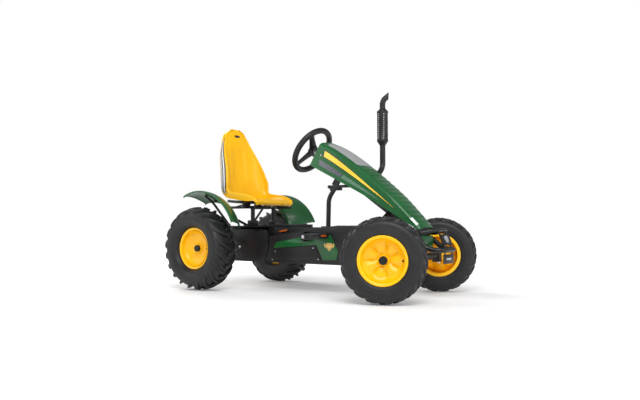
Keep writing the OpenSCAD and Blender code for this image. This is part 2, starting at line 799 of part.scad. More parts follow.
module fender_brackets() {
    color(BLACK) for (side = [RIGHT, LEFT], t = bracket_spots) {
        inner = fender_point(side, t, 0.08, fender_lip + bracket_r + 1);
        outer = fender_point(side, t, 0.45, fender_wall + bracket_r + 0.6);
        foot = [t < 0.5 ? seat_x - 45 : rear_x - 20, side * (deck_y - 12), deck_top];
        rod(foot, foot + [0, 0, bracket_foot], bracket_r + 4);
        pipe([foot + [0, 0, bracket_r + 1], inner, outer], bracket_r);
    }
}

// Outline of a belt that runs round two wheels of radii a and b, d apart along the line between them
module belt(a, b, d) {
    hull() {
        circle(a);
        translate([d, 0]) circle(b);
    }
}

module chain() {
    span = [crank_x - rear_x, crank_z - rear_z];
    color(STEEL) translate([rear_x, chain_y + chain_w / 2, rear_z]) rotate([90, -atan2(span[1], span[0]), 0])
        linear_extrude(chain_w) difference() {
            belt(sprocket_r + tooth_h + chain_gap + chain_t, ring_r + tooth_h + chain_gap + chain_t, norm(span));
            belt(sprocket_r + tooth_h + chain_gap, ring_r + tooth_h + chain_gap, norm(span));
        }
}

// ---- Seat ----

// The direction from the seat's centre line towards the driver
function seat_normal(u) =
    let (ahead = spline(seat_line, min(u + 0.01, 1)) - spline(seat_line, max(u - 0.01, 0)),
        t = ahead / norm(ahead))
    [t[1], -t[0]];

// A point on the seat at u along its centre line and v from -1 to 1 across it, sunk by wall
function seat_point(u, v, wall) =
    let (c = spline(seat_line, u), n = seat_normal(u), s = spline(seat_shape, u),
        a = 90 * abs(v), half = s[0] - wall,
        across = half * pow(sin(a), 0.8), wrap = s[1] * (1 - pow(cos(a), 0.8)),
        p = c + n * (wrap - wall))
    [seat_x + p[0], sign(v) * across, p[1]];

// The skirt's lower edge beside the seat, at u along its centre line
function seat_edge(u, side, wall) =
    let (c = spline(seat_line, u), n = seat_normal(u), s = spline(seat_shape, u), p = c + n * (s[1] - s[2]))
    [seat_x + p[0], side * (s[0] - wall), p[1]];

seat_rows = 26;
seat_columns = 12;

function seat_row(u, wall) = concat([seat_edge(u, RIGHT, wall)],
    [for (j = [0 : seat_columns]) seat_point(u, 2 * j / seat_columns - 1, wall)],
    [seat_edge(u, LEFT, wall)]);

module seat_shell() {
    color(YELLOW) sheet([for (i = [0 : seat_rows]) seat_row(i / seat_rows, 0)],
        [for (i = [0 : seat_rows]) seat_row(i / seat_rows, seat_wall)]);
}

module seat_bars() {
    color(BLACK) for (side = [RIGHT, LEFT]) difference() {
        y = side * seat_rail_y;
        union() {
            pipe([[seat_x - 196, y, seat_bar_z + 12], [seat_clamp_x, y, seat_bar_z],
                [seat_front_x + saddle_len / 2, y, seat_bar_z]],
                seat_bar_r);
            for (x = [seat_clamp_x, seat_front_x])
                translate([x - saddle_len / 2, y - saddle_w / 2, seat_rail_z + 1])
                    cube([saddle_len, saddle_w, 28]);
        }
        rod([rail_back_x - 100, y, seat_rail_z], [rail_front_x + 100, y, seat_rail_z], seat_rail_r + run_fit);
    }
}

lever_len = 60;

module seat_lever() {
    color(BLACK) translate([seat_clamp_x, -seat_rail_y - saddle_w / 2, seat_rail_z + 16]) {
        rotate([90, 0, 0]) cylinder(h = 8, r = 9);
        translate([0, -4, 0]) rod([0, 0, 0], [-lever_len, -10, -14], 4);
    }
}

// ---- Steering ----

spoke_clock = [75, 180, 285];
spoke_w = 30;
spoke_t = 10;
hub_r = 32;
hub_t = 18;
wheel_turn = steer_now / steer_ratio;

module steering_wheel() {
    color(BLACK) on_shaft() rotate([0, 0, -wheel_turn]) difference() {
        union() {
            rotate_extrude($fn = 96) translate([wheel_ring_r, 0]) circle(wheel_tube_r);
            for (clock = spoke_clock) rotate([0, 0, 180 + clock])
                translate([0, -spoke_w / 2, -spoke_t / 2]) cube([wheel_ring_r, spoke_w, spoke_t]);
            translate([0, 0, -spoke_t / 2]) cylinder(h = hub_t, r = hub_r);
        }
        translate([0, 0, -hub_t]) cylinder(h = 3 * hub_t, r = shaft_r);
    }
}

hub_cap_r = 27;

module steering_hub() {
    color(BLACK) on_shaft() rotate([0, 0, -wheel_turn])
        translate([0, 0, -spoke_t / 2 - 10]) cylinder(h = 10, r = hub_cap_r);
}

module steering_shaft() {
    color(STEEL) on_shaft(-spoke_t / 2) cylinder(h = pin_along + spoke_t / 2 + 8, r = shaft_r);
}

pitman_side = 8;
slot_out = 69;

module pitman_arm() {
    color(STEEL) on_shaft(pin_along) rotate([0, 0, -wheel_turn]) difference() {
        union() {
            translate([0, 0, -pitman_t / 2]) linear_extrude(pitman_t) {
                circle(pin_r + pin_play + pitman_side);
                translate([0, -pin_r - pin_play - pitman_side])
                    square([slot_out, 2 * (pin_r + pin_play + pitman_side)]);
                translate([slot_out, 0]) circle(pin_r + pin_play + pitman_side);
            }
            translate([0, 0, -12]) cylinder(h = 18, r = shaft_r + 7);
        }
        translate([0, 0, -30]) cylinder(h = 60, r = shaft_r);
        translate([0, 0, -pitman_t]) linear_extrude(2 * pitman_t) {
            translate([pin_reach, 0]) circle(pin_r + pin_play);
            translate([slot_out, 0]) circle(pin_r + pin_play);
            translate([pin_reach, -pin_r - pin_play]) square([slot_out - pin_reach, 2 * (pin_r + pin_play)]);
        }
    }
}

// ---- Front axle ----

module axle_beam() {
    web_y = kingpin_y - yoke_in - yoke_t;
    color(BLACK) difference() {
        union() {
            rod([front_x, -web_y, front_z], [front_x, web_y, front_z], axle_tube_r);
            translate([front_x - 5, -46, front_z]) cube([10, 92, 30]);
            translate([front_x - 5, -16, front_z]) cube([10, 32, swing_z - front_z]);
            translate([front_x, 0, swing_z]) rotate([0, 90, 0])
                cylinder(h = 2 * (head_half_gap - 1), r = swing_bolt_r + 8, center = true);
            for (side = [RIGHT, LEFT]) {
                translate([front_x - 20, side == RIGHT ? -web_y - yoke_t : web_y, front_z - barrel_h / 2 - lug_t - gap])
                    cube([40, yoke_t, barrel_h + 2 * (lug_t + gap)]);
                for (z = [front_z + barrel_h / 2 + gap, front_z - barrel_h / 2 - gap - lug_t])
                    translate([front_x, side * kingpin_y, z]) {
                        cylinder(h = lug_t, r = lug_r);
                        translate([-lug_r, side == RIGHT ? 0 : -yoke_in, 0]) cube([2 * lug_r, yoke_in, lug_t]);
                    }
            }
        }
        translate([front_x, 0, swing_z]) rotate([0, 90, 0])
            cylinder(h = 4 * head_half_gap, r = swing_bolt_r + run_fit, center = true);
        for (side = [RIGHT, LEFT])
            translate([front_x, side * kingpin_y, 0]) cylinder(h = 2 * front_z, r = kingpin_r);
    }
}

module kingpins() {
    half = barrel_h / 2 + lug_t + gap;
    color(STEEL) for (side = [RIGHT, LEFT]) translate([front_x, side * kingpin_y, front_z]) {
        cylinder(h = 2 * half, r = kingpin_r, center = true);
        translate([0, 0, half]) cylinder(h = 7, r = kingpin_r * 1.7, $fn = 6);
        translate([0, 0, -half - 7]) cylinder(h = 7, r = kingpin_r * 1.7, $fn = 6);
    }
}

spindle_collar_r = 13;

module knuckle(side) {
    color(BLACK) on_kingpin(side) difference() {
        union() {
            translate([0, 0, front_z]) {
                cylinder(h = barrel_h, r = barrel_r, center = true);
                rotate([-90 * side, 0, 0]) {
                    cylinder(h = kingpin_offset + front_hub_out + 8, r = spindle_r);
                    cylinder(h = kingpin_offset - front_hub_in - gap, r = spindle_collar_r);
                }
            }
            translate([-steer_arm, -eye_r, arm_top - arm_t]) cube([steer_arm, 2 * eye_r, arm_t]);
            translate([-steer_arm, 0, arm_top - arm_t]) {
                cylinder(h = arm_t, r = eye_r);
                cylinder(h = arm_t + eye_h + 8, r = stud_r);
                translate([0, 0, arm_t + gap + eye_h + gap]) cylinder(h = 7, r = stud_r + 4, $fn = 6);
            }
        }
        translate([0, 0, front_z]) cylinder(h = 2 * barrel_h, r = kingpin_r + run_fit, center = true);
    }
}

module knuckle_right() { knuckle(RIGHT); }
module knuckle_left() { knuckle(LEFT); }

rod_r = 7;
tower_t = 8;
tower_w = 24;

module track_rod() {
    shift = radial(steer_arm, 180 + steer_now);
    rod_z = arm_top + gap + eye_h / 2;
    color(STEEL) translate([front_x + shift[0], shift[1], 0]) difference() {
        union() {
            rod([0, -kingpin_y + eye_r - 2, rod_z], [0, kingpin_y - eye_r + 2, rod_z], rod_r - 1.5);
            for (side = [RIGHT, LEFT])
                translate([0, side * kingpin_y, rod_z - eye_h / 2]) cylinder(h = eye_h, r = eye_r);
            translate([4, -tower_w / 2, rod_z - 4]) cube([tower_t, tower_w, pin_z - rod_z - 3]);
            translate([-2, -tower_w / 2, rod_z - 4]) cube([tower_t, tower_w, 8]);
            translate([0, 0, pin_z]) rotate([0, 90 + shaft_slope, 0]) {
                translate([0, 0, 6]) cylinder(h = 12, r = 9);
                translate([0, 0, -18]) cylinder(h = 30, r = pin_r);
            }
        }
        for (side = [RIGHT, LEFT])
            translate([0, side * kingpin_y, rod_z - eye_h]) cylinder(h = 2 * eye_h, r = stud_r + run_fit);
    }
}

// ---- Wheels ----

// Half section of a rim from the spin axis: barrel, flanges, and a dished disc from hub to barrel
module rim_section(width, hub_bore, hub_out_r, hub_in, hub_out, dish) {
    half = width / 2;
    polygon([[bead_r - rim_wall, -half], [flange_r, -half], [flange_r, -half + rim_wall],
        [bead_r, -half + rim_wall], [bead_r, half - rim_wall], [flange_r, half - rim_wall],
        [flange_r, half], [bead_r - rim_wall, half]]);
    polygon([[hub_bore, -hub_in], [hub_out_r, -hub_in], [hub_out_r, dish[0] - rim_wall],
        [bead_r - 30, dish[1] - rim_wall], [bead_r - rim_wall / 2, dish[2] - rim_wall],
        [bead_r - rim_wall / 2, dish[2]], [bead_r - 30, dish[1]], [hub_out_r, dish[0]],
        [hub_out_r, hub_out], [hub_bore, hub_out]]);
}

front_dish = [6, 14, 36];
rear_dish = [2, 4, 22];

module front_rim(side) {
    color(YELLOW) on_front_wheel(side) rotate_extrude($fn = 96)
        rim_section(front_rim_w, spindle_r + run_fit, front_hub_r, front_hub_in, front_hub_out, front_dish);
}

module tyre(r, w, rim_w) {
    seat = rim_w / 2 - rim_wall;
    outer = tyre_side(r, w / 2, seat, flange_r + 1.5);
    inner = tyre_side(r - tyre_wall, w / 2 - tyre_wall, seat - tyre_wall, flange_r + tyre_wall);
    outline = concat([[bead_r, seat]], outer, mirrored(outer), [[bead_r, -seat]],
        [[bead_r, -seat + tyre_wall]], [for (p = inner) [p[0], -p[1]]],
        [for (i = [len(inner) - 1 : -1 : 0]) inner[i]], [[bead_r, seat - tyre_wall]]);
    color(BLACK) rotate_extrude($fn = 96) polygon(outline);
}

module front_cap(side) {
    color(BLACK) on_front_wheel(side) translate([0, 0, front_hub_out]) difference() {
        cylinder(h = cap_len, r = front_cap_r);
        translate([0, 0, -1]) cylinder(h = cap_len - 3, r = spindle_r + 2);
    }
}

module front_rim_right() { front_rim(RIGHT); }
module front_rim_left() { front_rim(LEFT); }
module front_tyre_right() { on_front_wheel(RIGHT) tyre(front_tyre_r, front_tyre_w, front_rim_w); }
module front_tyre_left() { on_front_wheel(LEFT) tyre(front_tyre_r, front_tyre_w, front_rim_w); }
module front_cap_right() { front_cap(RIGHT); }
module front_cap_left() { front_cap(LEFT); }

axle_end = rear_hub_out + 8;

module rear_axle() {
    color(STEEL) rod([rear_x, -rear_track / 2 - axle_end, rear_z], [rear_x, rear_track / 2 + axle_end, rear_z],
        axle_r);
}

module rear_rim(side, bore) {
    color(YELLOW) on_rear_wheel(side) rotate_extrude($fn = 96)
        rim_section(rear_rim_w, bore, rear_hub_r, rear_hub_in, rear_hub_out, rear_dish);
}

module rear_rim_right() { rear_rim(RIGHT, axle_r); }
module rear_rim_left() { rear_rim(LEFT, axle_r + run_fit); }
module rear_tyre_right() { on_rear_wheel(RIGHT) tyre(rear_tyre_r, rear_tyre_w, rear_rim_w); }
module rear_tyre_left() { on_rear_wheel(LEFT) tyre(rear_tyre_r, rear_tyre_w, rear_rim_w); }

module axle_caps() {
    color(BLACK) for (side = [RIGHT, LEFT])
        on_rear_wheel(side) translate([0, 0, rear_hub_out + gap]) difference() {
            cylinder(h = cap_len, r = rear_cap_r);
            translate([0, 0, -1]) cylinder(h = axle_end - rear_hub_out - gap + 1, r = axle_r);
        }
}

// ---- Drive ----

// A toothed wheel on the chain line, on a shaft of radius bore
module toothed(pitch_r, teeth, bore, hub) {
    difference() {
        union() {
            cylinder(h = 4, r = pitch_r - 2, center = true);
            for (i = [0 : teeth - 1]) rotate([0, 0, (i + 0.5) * 360 / teeth])
                translate([pitch_r - 4, -2.3, -1.7]) cube([tooth_h + 3.8, 4.6, 3.4]);
            cylinder(h = hub, r = bore + 5, center = true);
        }
        cylinder(h = hub + 2, r = bore, center = true);
    }
}

module drive_sprocket() {
    color(STEEL) translate([rear_x, chain_y, rear_z]) rotate([90, 0, 0])
        toothed(sprocket_r, sprocket_teeth, axle_r, 14);
}

module chainring() {
    color(STEEL) translate([crank_x, chain_y, crank_z]) rotate([90, 0, 0])
        toothed(ring_r, ring_teeth, crank_r, 12);
}

module brake_hub() {
    color(BLACK) translate([rear_x, -38, rear_z]) rotate([90, 0, 0]) difference() {
        cylinder(h = 26, r = 42, center = true);
        cylinder(h = 28, r = axle_r, center = true);
    }
}

module crank_axle() {
    color(STEEL) translate([crank_x, 0, crank_z]) rotate([90, 0, 0])
        cylinder(h = 2 * (arm_in_y + arm_w_y), r = crank_r, center = true);
}

arm_boss_r = 18;
arm_tip_r = 13;

module crank_arms() {
    color(BLACK) for (side = [RIGHT, LEFT])
        translate([crank_x, side * arm_in_y, crank_z]) rotate([-90 * side, 0, 0])
            rotate([0, 0, side == RIGHT ? crank_now : 180 - crank_now]) difference() {
                union() {
                    cylinder(h = arm_w_y, r = arm_boss_r);
                    linear_extrude(arm_w_y)
                        polygon([[0, -arm_boss_r], [crank_arm, -arm_tip_r], [crank_arm, arm_tip_r], [0, arm_boss_r]]);
                    translate([crank_arm, 0, 0]) {
                        cylinder(h = arm_w_y, r = arm_tip_r);
                        cylinder(h = arm_w_y + pedal_w + 10, r = pedal_pin_r);
                    }
                }
                translate([0, 0, -1]) cylinder(h = arm_w_y + 2, r = crank_r);
            }
}

module pedal(side) {
    tip = radial(crank_arm, side == RIGHT ? crank_now : 180 + crank_now);
    color(BLACK) translate([crank_x + tip[0], side * (arm_in_y + arm_w_y + 5), crank_z + tip[1]])
        rotate([-90 * side, 0, 0]) difference() {
            translate([-pedal_l / 2, -pedal_h / 2, 0]) cube([pedal_l, pedal_h, pedal_w]);
            translate([0, 0, -1]) cylinder(h = pedal_w + 2, r = pedal_pin_r + run_fit);
        }
}

module pedal_right() { pedal(RIGHT); }
module pedal_left() { pedal(LEFT); }

main_beam();
rear_carrier();
axle_bearings();
bottom_bracket();
front_subframe();
swing_bolt();
column_post();
column_clamp();
height_knob();
steering_tube();
hood();
nose_cover();
exhaust();
bumper();
emblem_plate();
number_plate();
trim_screws();
side_cover_right();
side_cover_left();
cover_inlays();
step_panels();
hub_cover_right();
hub_cover_left();
rear_deck();
seat_posts();
fender_right();
fender_left();
fender_brackets();
chain();
seat_shell();
seat_bars();
seat_lever();
steering_wheel();
steering_hub();
steering_shaft();
pitman_arm();
axle_beam();
kingpins();
knuckle_right();
knuckle_left();
track_rod();
front_rim_right();
front_tyre_right();
front_cap_right();
front_rim_left();
front_tyre_left();
front_cap_left();
rear_axle();
drive_sprocket();
brake_hub();
rear_rim_right();
rear_tyre_right();
axle_caps();
rear_rim_left();
rear_tyre_left();
crank_axle();
chainring();
crank_arms();
pedal_right();
pedal_left();
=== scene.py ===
import json
import math

import bmesh
import bpy
from mathutils import Matrix, Vector


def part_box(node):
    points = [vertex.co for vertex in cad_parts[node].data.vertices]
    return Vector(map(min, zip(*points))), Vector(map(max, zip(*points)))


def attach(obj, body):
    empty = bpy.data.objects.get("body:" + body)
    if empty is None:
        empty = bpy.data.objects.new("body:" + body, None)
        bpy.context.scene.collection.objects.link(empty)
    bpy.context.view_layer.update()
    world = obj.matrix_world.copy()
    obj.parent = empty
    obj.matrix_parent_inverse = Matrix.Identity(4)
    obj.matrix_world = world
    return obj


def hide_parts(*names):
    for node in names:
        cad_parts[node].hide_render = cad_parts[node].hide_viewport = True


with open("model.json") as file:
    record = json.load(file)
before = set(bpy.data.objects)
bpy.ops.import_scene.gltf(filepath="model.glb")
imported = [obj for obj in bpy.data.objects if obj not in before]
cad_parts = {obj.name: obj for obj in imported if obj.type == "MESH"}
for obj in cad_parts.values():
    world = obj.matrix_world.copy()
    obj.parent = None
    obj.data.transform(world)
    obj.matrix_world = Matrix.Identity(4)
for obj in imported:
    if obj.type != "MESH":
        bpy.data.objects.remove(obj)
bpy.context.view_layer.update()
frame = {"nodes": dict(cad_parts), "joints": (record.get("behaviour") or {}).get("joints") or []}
joints = {j["name"]: j for j in frame["joints"]}
mm = 0.001
right, left = -1, 1
sideName = {right: "right", left: "left"}

# The kart's main stations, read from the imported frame
rearAxle = Vector(joints["axle_spin"]["pos_m"])
crankAxle = Vector(joints["crank_turn"]["pos_m"])
frontX = joints["axle_swing"]["pos_m"][0]
wheelPlace = Vector(joints["steering_turn"]["pos_m"])
wheelAxis = Vector(joints["steering_turn"]["axis"]).normalized()
seatX = rearAxle.x + 0.160


# Shader groups

def newGroup(name, inputs, outputs):
    group = bpy.data.node_groups.new(name, "ShaderNodeTree")
    for label, kind, value in inputs:
        socket = group.interface.new_socket(label, in_out="INPUT", socket_type=kind)
        socket.default_value = value
    for label, kind in outputs:
        group.interface.new_socket(label, in_out="OUTPUT", socket_type=kind)
    return group, group.nodes.new("NodeGroupInput"), group.nodes.new("NodeGroupOutput")


def addNode(tree, kind, **settings):
    node = tree.nodes.new(kind)
    for key, value in settings.items():
        setattr(node, key, value)
    return node


def mathNode(tree, operation, first, second, clamp=False):
    node = addNode(tree, "ShaderNodeMath", operation=operation, use_clamp=clamp)
    for slot, value in zip(node.inputs, (first, second)):
        if isinstance(value, (int, float)):
            slot.default_value = value
        else:
            tree.links.new(value, slot)
    return node.outputs[0]


# Fine moulded or cast grain, with a slow drift in tone
def grainGroup():
    group, source, sink = newGroup("surfaceGrain",
        [("Scale", "NodeSocketFloat", 900.0), ("Depth", "NodeSocketFloat", 0.5)],
        [("Height", "NodeSocketFloat"), ("Drift", "NodeSocketFloat")])
    link = group.links.new
    coords = addNode(group, "ShaderNodeTexCoord").outputs["Object"]
    fine = addNode(group, "ShaderNodeTexNoise")
    fine.inputs["Detail"].default_value = 3.0
    broad = addNode(group, "ShaderNodeTexNoise")
    broad.inputs["Scale"].default_value = 7.0
    broad.inputs["Detail"].default_value = 4.0
    link(coords, fine.inputs["Vector"])
    link(coords, broad.inputs["Vector"])
    link(source.outputs["Scale"], fine.inputs["Scale"])
    link(mathNode(group, "MULTIPLY", fine.outputs["Fac"], source.outputs["Depth"]), sink.inputs["Height"])
    link(broad.outputs["Fac"], sink.inputs["Drift"])
    return group


# Painted highlight together with light wear on edges where a surface turns sharply outwards
def highlightAndWearGroup():
    group, source, sink = newGroup("edgeWear",
        [("Amount", "NodeSocketFloat", 0.3), ("Breakup", "NodeSocketFloat", 60.0)],
        [("Mask", "NodeSocketFloat")])
    link = group.links.new
    point = addNode(group, "ShaderNodeNewGeometry").outputs["Pointiness"]
    coords = addNode(group, "ShaderNodeTexCoord").outputs["Object"]
    noise = addNode(group, "ShaderNodeTexNoise")
    link(coords, noise.inputs["Vector"])
    link(source.outputs["Breakup"], noise.inputs["Scale"])
    ridge = mathNode(group, "MULTIPLY", mathNode(group, "SUBTRACT", point, 0.53), 14.0, True)
    patchy = mathNode(group, "MULTIPLY", ridge, noise.outputs["Fac"])
    link(mathNode(group, "MULTIPLY", patchy, source.outputs["Amount"], True), sink.inputs["Mask"])
    return group


# Pale dust that gathers in soft patches
def dustGroup():
    group, source, sink = newGroup("paleDust",
        [("Amount", "NodeSocketFloat", 0.2), ("Scale", "NodeSocketFloat", 18.0)],
        [("Mask", "NodeSocketFloat")])
    link = group.links.new
    coords = addNode(group, "ShaderNodeTexCoord").outputs["Object"]
    noise = addNode(group, "ShaderNodeTexNoise")
    noise.inputs["Detail"].default_value = 6.0
    link(coords, noise.inputs["Vector"])
    link(source.outputs["Scale"], noise.inputs["Scale"])
    soft = mathNode(group, "MULTIPLY", mathNode(group, "SUBTRACT", noise.outputs["Fac"], 0.42), 3.0, True)
    link(mathNode(group, "MULTIPLY", soft, source.outputs["Amount"], True), sink.inputs["Mask"])
    return group


groups = {"grain": grainGroup(), "highlightAndWear": highlightAndWearGroup(), "dust": dustGroup()}

# color, color in the drift's dark parts, roughness range, grain scale and depth, and what lies on top (the painted
# edge highlight with wear, and dust)
finishes = {
    "blackPaint": dict(color=(0.008, 0.0085, 0.0095), dark=(0.005, 0.0055, 0.006), rough=(0.30, 0.42),
        grain=(700, 0.30), bump=0.12, highlightAndWear=0.15, highlightAndWearColor=(0.08, 0.08, 0.085), dust=0.01, coat=0.1, shine=0.35),
    "blackPlastic": dict(color=(0.009, 0.0095, 0.011), dark=(0.006, 0.0065, 0.0075), rough=(0.36, 0.48),
        grain=(1500, 0.5), bump=0.2, highlightAndWear=0.10, highlightAndWearColor=(0.07, 0.07, 0.075), dust=0.01, shine=0.35),
    "coverPlastic": dict(color=(0.010, 0.0105, 0.012), dark=(0.007, 0.0075, 0.0085), rough=(0.34, 0.46),
        grain=(1300, 0.5), bump=0.2, highlightAndWear=0.10, highlightAndWearColor=(0.07, 0.07, 0.075), dust=0.015, shine=0.35),
    "greenPlastic": dict(color=(0.005, 0.098, 0.022), dark=(0.004, 0.080, 0.017), rough=(0.24, 0.34),
        grain=(260, 0.35), bump=0.05, highlightAndWear=0.06, highlightAndWearColor=(0.04, 0.2, 0.07), dust=0.0, coat=0.25, shine=0.4),
    "fenderPlastic": dict(color=(0.005, 0.088, 0.020), dark=(0.004, 0.070, 0.016), rough=(0.28, 0.38),
        grain=(500, 0.45), bump=0.08, highlightAndWear=0.08, highlightAndWearColor=(0.04, 0.2, 0.07), dust=0.0, coat=0.2, shine=0.4),
    "yellowPlastic": dict(color=(0.93, 0.515, 0.003), dark=(0.88, 0.46, 0.002), rough=(0.30, 0.40),
        grain=(320, 0.4), bump=0.08, highlightAndWear=0.05, highlightAndWearColor=(1.0, 0.62, 0.03), dust=0.0, coat=0.15, shine=0.3),
    "rimPlastic": dict(color=(0.95, 0.52, 0.003), dark=(0.89, 0.46, 0.002), rough=(0.26, 0.36),
        grain=(320, 0.4), bump=0.08, highlightAndWear=0.05, highlightAndWearColor=(1.0, 0.65, 0.05), dust=0.0, coat=0.15, shine=0.3),
    "rubber": dict(color=(0.0085, 0.009, 0.0105), dark=(0.006, 0.0065, 0.0075), rough=(0.42, 0.58),
        grain=(900, 0.7), bump=0.25, highlightAndWear=0.20, highlightAndWearColor=(0.045, 0.048, 0.055), dust=0.02, shine=0.4),
    "gripRubber": dict(color=(0.008, 0.0085, 0.0095), dark=(0.0055, 0.006, 0.007), rough=(0.40, 0.52),
        grain=(1700, 0.7), bump=0.25, highlightAndWear=0.10, highlightAndWearColor=(0.05, 0.05, 0.055), dust=0.01, shine=0.35),
    "zinc": dict(color=(0.58, 0.59, 0.60), dark=(0.46, 0.47, 0.48), rough=(0.26, 0.40), metallic=1.0,
        grain=(420, 0.4), bump=0.08, highlightAndWear=0.2, highlightAndWearColor=(0.8, 0.8, 0.8), dust=0.02),
    "chainSteel": dict(color=(0.22, 0.21, 0.20), dark=(0.12, 0.11, 0.10), rough=(0.34, 0.5), metallic=1.0,
        grain=(500, 0.5), bump=0.1, highlightAndWear=0.35, highlightAndWearColor=(0.5, 0.49, 0.47), dust=0.06),
    "goldFoil": dict(color=(0.80, 0.52, 0.15), dark=(0.55, 0.33, 0.08), rough=(0.24, 0.36), metallic=0.7,
        grain=(500, 0.4), bump=0.06, highlightAndWear=0.2, highlightAndWearColor=(1.0, 0.8, 0.4), dust=0.02, coat=0.3),
    "goldInk": dict(color=(0.16, 0.085, 0.015), dark=(0.10, 0.05, 0.01), rough=(0.3, 0.4),
        grain=(500, 0.3), bump=0.04, highlightAndWear=0.0, highlightAndWearColor=(0.2, 0.1, 0.02), dust=0.0),
    "orangeLens": dict(color=(0.50, 0.085, 0.006), dark=(0.34, 0.05, 0.003), rough=(0.08, 0.16),
        grain=(260, 1.0), bump=0.35, highlightAndWear=0.1, highlightAndWearColor=(1.0, 0.5, 0.2), dust=0.02, coat=0.8),
    "decalYellow": dict(color=(0.92, 0.60, 0.04), dark=(0.86, 0.52, 0.03), rough=(0.2, 0.28),
        grain=(400, 0.2), bump=0.02, highlightAndWear=0.0, highlightAndWearColor=(1, 1, 1), dust=0.01, coat=0.6),
    "decalBlack": dict(color=(0.016, 0.017, 0.018), dark=(0.011, 0.012, 0.013), rough=(0.2, 0.3),
        grain=(400, 0.2), bump=0.02, highlightAndWear=0.0, highlightAndWearColor=(0.1, 0.1, 0.1), dust=0.01, coat=0.6),
    "decalWhite": dict(color=(0.80, 0.81, 0.81), dark=(0.74, 0.75, 0.75), rough=(0.22, 0.3),
        grain=(400, 0.2), bump=0.02, highlightAndWear=0.0, highlightAndWearColor=(1, 1, 1), dust=0.01, coat=0.5),
    "decalGrey": dict(color=(0.33, 0.34, 0.35), dark=(0.27, 0.28, 0.29), rough=(0.16, 0.24),
        grain=(400, 0.2), bump=0.02, highlightAndWear=0.0, highlightAndWearColor=(0.5, 0.5, 0.5), dust=0.01, coat=0.8),
    "slotGrey": dict(color=(0.42, 0.43, 0.44), dark=(0.36, 0.37, 0.38), rough=(0.25, 0.35),
        grain=(600, 0.3), bump=0.04, highlightAndWear=0.1, highlightAndWearColor=(0.3, 0.3, 0.3), dust=0.02, coat=0.2),
    "decalGreen": dict(color=(0.10, 0.20, 0.13), dark=(0.07, 0.16, 0.10), rough=(0.2, 0.28),
        grain=(400, 0.2), bump=0.02, highlightAndWear=0.0, highlightAndWearColor=(0.5, 0.5, 0.5), dust=0.01, coat=0.5),
    "decalDark": dict(color=(0.075, 0.085, 0.10), dark=(0.06, 0.07, 0.08), rough=(0.14, 0.22),
        grain=(400, 0.2), bump=0.02, highlightAndWear=0.0, highlightAndWearColor=(0.5, 0.5, 0.5), dust=0.01, coat=0.8),
}


def mixColor(tree, mask, low, high):
    node = addNode(tree, "ShaderNodeMix", data_type="RGBA")
    tree.links.new(mask, node.inputs["Factor"])
    for socket, value in ((node.inputs["A"], low), (node.inputs["B"], high)):
        if isinstance(value, tuple):
            socket.default_value = value + (1.0,)
        else:
            tree.links.new(value, socket)
    return node.outputs["Result"]


def placeGroup(tree, key, **values):
    node = addNode(tree, "ShaderNodeGroup", node_tree=groups[key])
    for label, value in values.items():
        node.inputs[label].default_value = value
    return node


def makeFinish(name, look):
    material = bpy.data.materials.new(name)
    material.use_nodes = True
    tree = material.node_tree
    shader = tree.nodes["Principled BSDF"]
    link = tree.links.new
    grain = placeGroup(tree, "grain", Scale=look["grain"][0], Depth=look["grain"][1])
    highlightAndWear = placeGroup(tree, "highlightAndWear", Amount=look["highlightAndWear"])
    dust = placeGroup(tree, "dust", Amount=look["dust"])
    drift = addNode(tree, "ShaderNodeMapRange")
    drift.inputs["From Min"].default_value = 0.3
    drift.inputs["From Max"].default_value = 0.7
    link(grain.outputs["Drift"], drift.inputs["Value"])
    base = mixColor(tree, drift.outputs[0], look["dark"], look["color"])
    # sharp edges turn lighter: a painted highlight together with wear
    highlightedAndWorn = mixColor(tree, highlightAndWear.outputs["Mask"], base, look["highlightAndWearColor"])
    link(mixColor(tree, dust.outputs["Mask"], highlightedAndWorn, (0.35, 0.33, 0.30)), shader.inputs["Base Color"])
    rough = addNode(tree, "ShaderNodeMapRange")
    rough.inputs["To Min"].default_value, rough.inputs["To Max"].default_value = look["rough"]
    link(grain.outputs["Drift"], rough.inputs["Value"])
    link(rough.outputs[0], shader.inputs["Roughness"])
    bump = addNode(tree, "ShaderNodeBump")
    bump.inputs["Strength"].default_value = look["bump"]
    bump.inputs["Distance"].default_value = 0.0006
    link(grain.outputs["Height"], bump.inputs["Height"])
    link(bump.outputs["Normal"], shader.inputs["Normal"])
    shader.inputs["Metallic"].default_value = look.get("metallic", 0.0)
    shader.inputs["Coat Weight"].default_value = look.get("coat", 0.0)
    shader.inputs["Coat Roughness"].default_value = 0.12
    shader.inputs["Specular IOR Level"].default_value = look.get("shine", 0.5)
    return material


finish = {name: makeFinish(name, look) for name, look in finishes.items()}
print("finishes made:", len(finish))


# Mesh tools

def linkObject(name, mesh):
    obj = bpy.data.objects.new(name, mesh)
    bpy.context.scene.collection.objects.link(obj)
    return obj


def newPiece(name, points, faces):
    mesh = bpy.data.meshes.new(name)
    mesh.from_pydata([tuple(p) for p in points], [], faces)
    return linkObject(name, mesh)


def cleanMesh(obj, turnOut=True):
    work = bmesh.new()
    work.from_mesh(obj.data)
    bmesh.ops.remove_doubles(work, verts=work.verts, dist=1e-6)
    bmesh.ops.dissolve_degenerate(work, edges=work.edges, dist=1e-7)
    if turnOut:
        bmesh.ops.recalc_face_normals(work, faces=work.faces)
    work.to_mesh(obj.data)
    work.free()
    return obj


def settle(obj):  # bakes the modifiers into a plain mesh
    shape = bpy.data.meshes.new_from_object(obj.evaluated_get(bpy.context.evaluated_depsgraph_get()))
    obj.modifiers.clear()
    obj.data = shape
    shape.name = obj.name
    return obj


def bevelled(obj, width, steps=2, angle=32):
    bevel = obj.modifiers.new("edges", "BEVEL")
    bevel.width, bevel.segments, bevel.angle_limit = width, steps, math.radians(angle)
    bevel.limit_method = "ANGLE"
    return settle(obj)


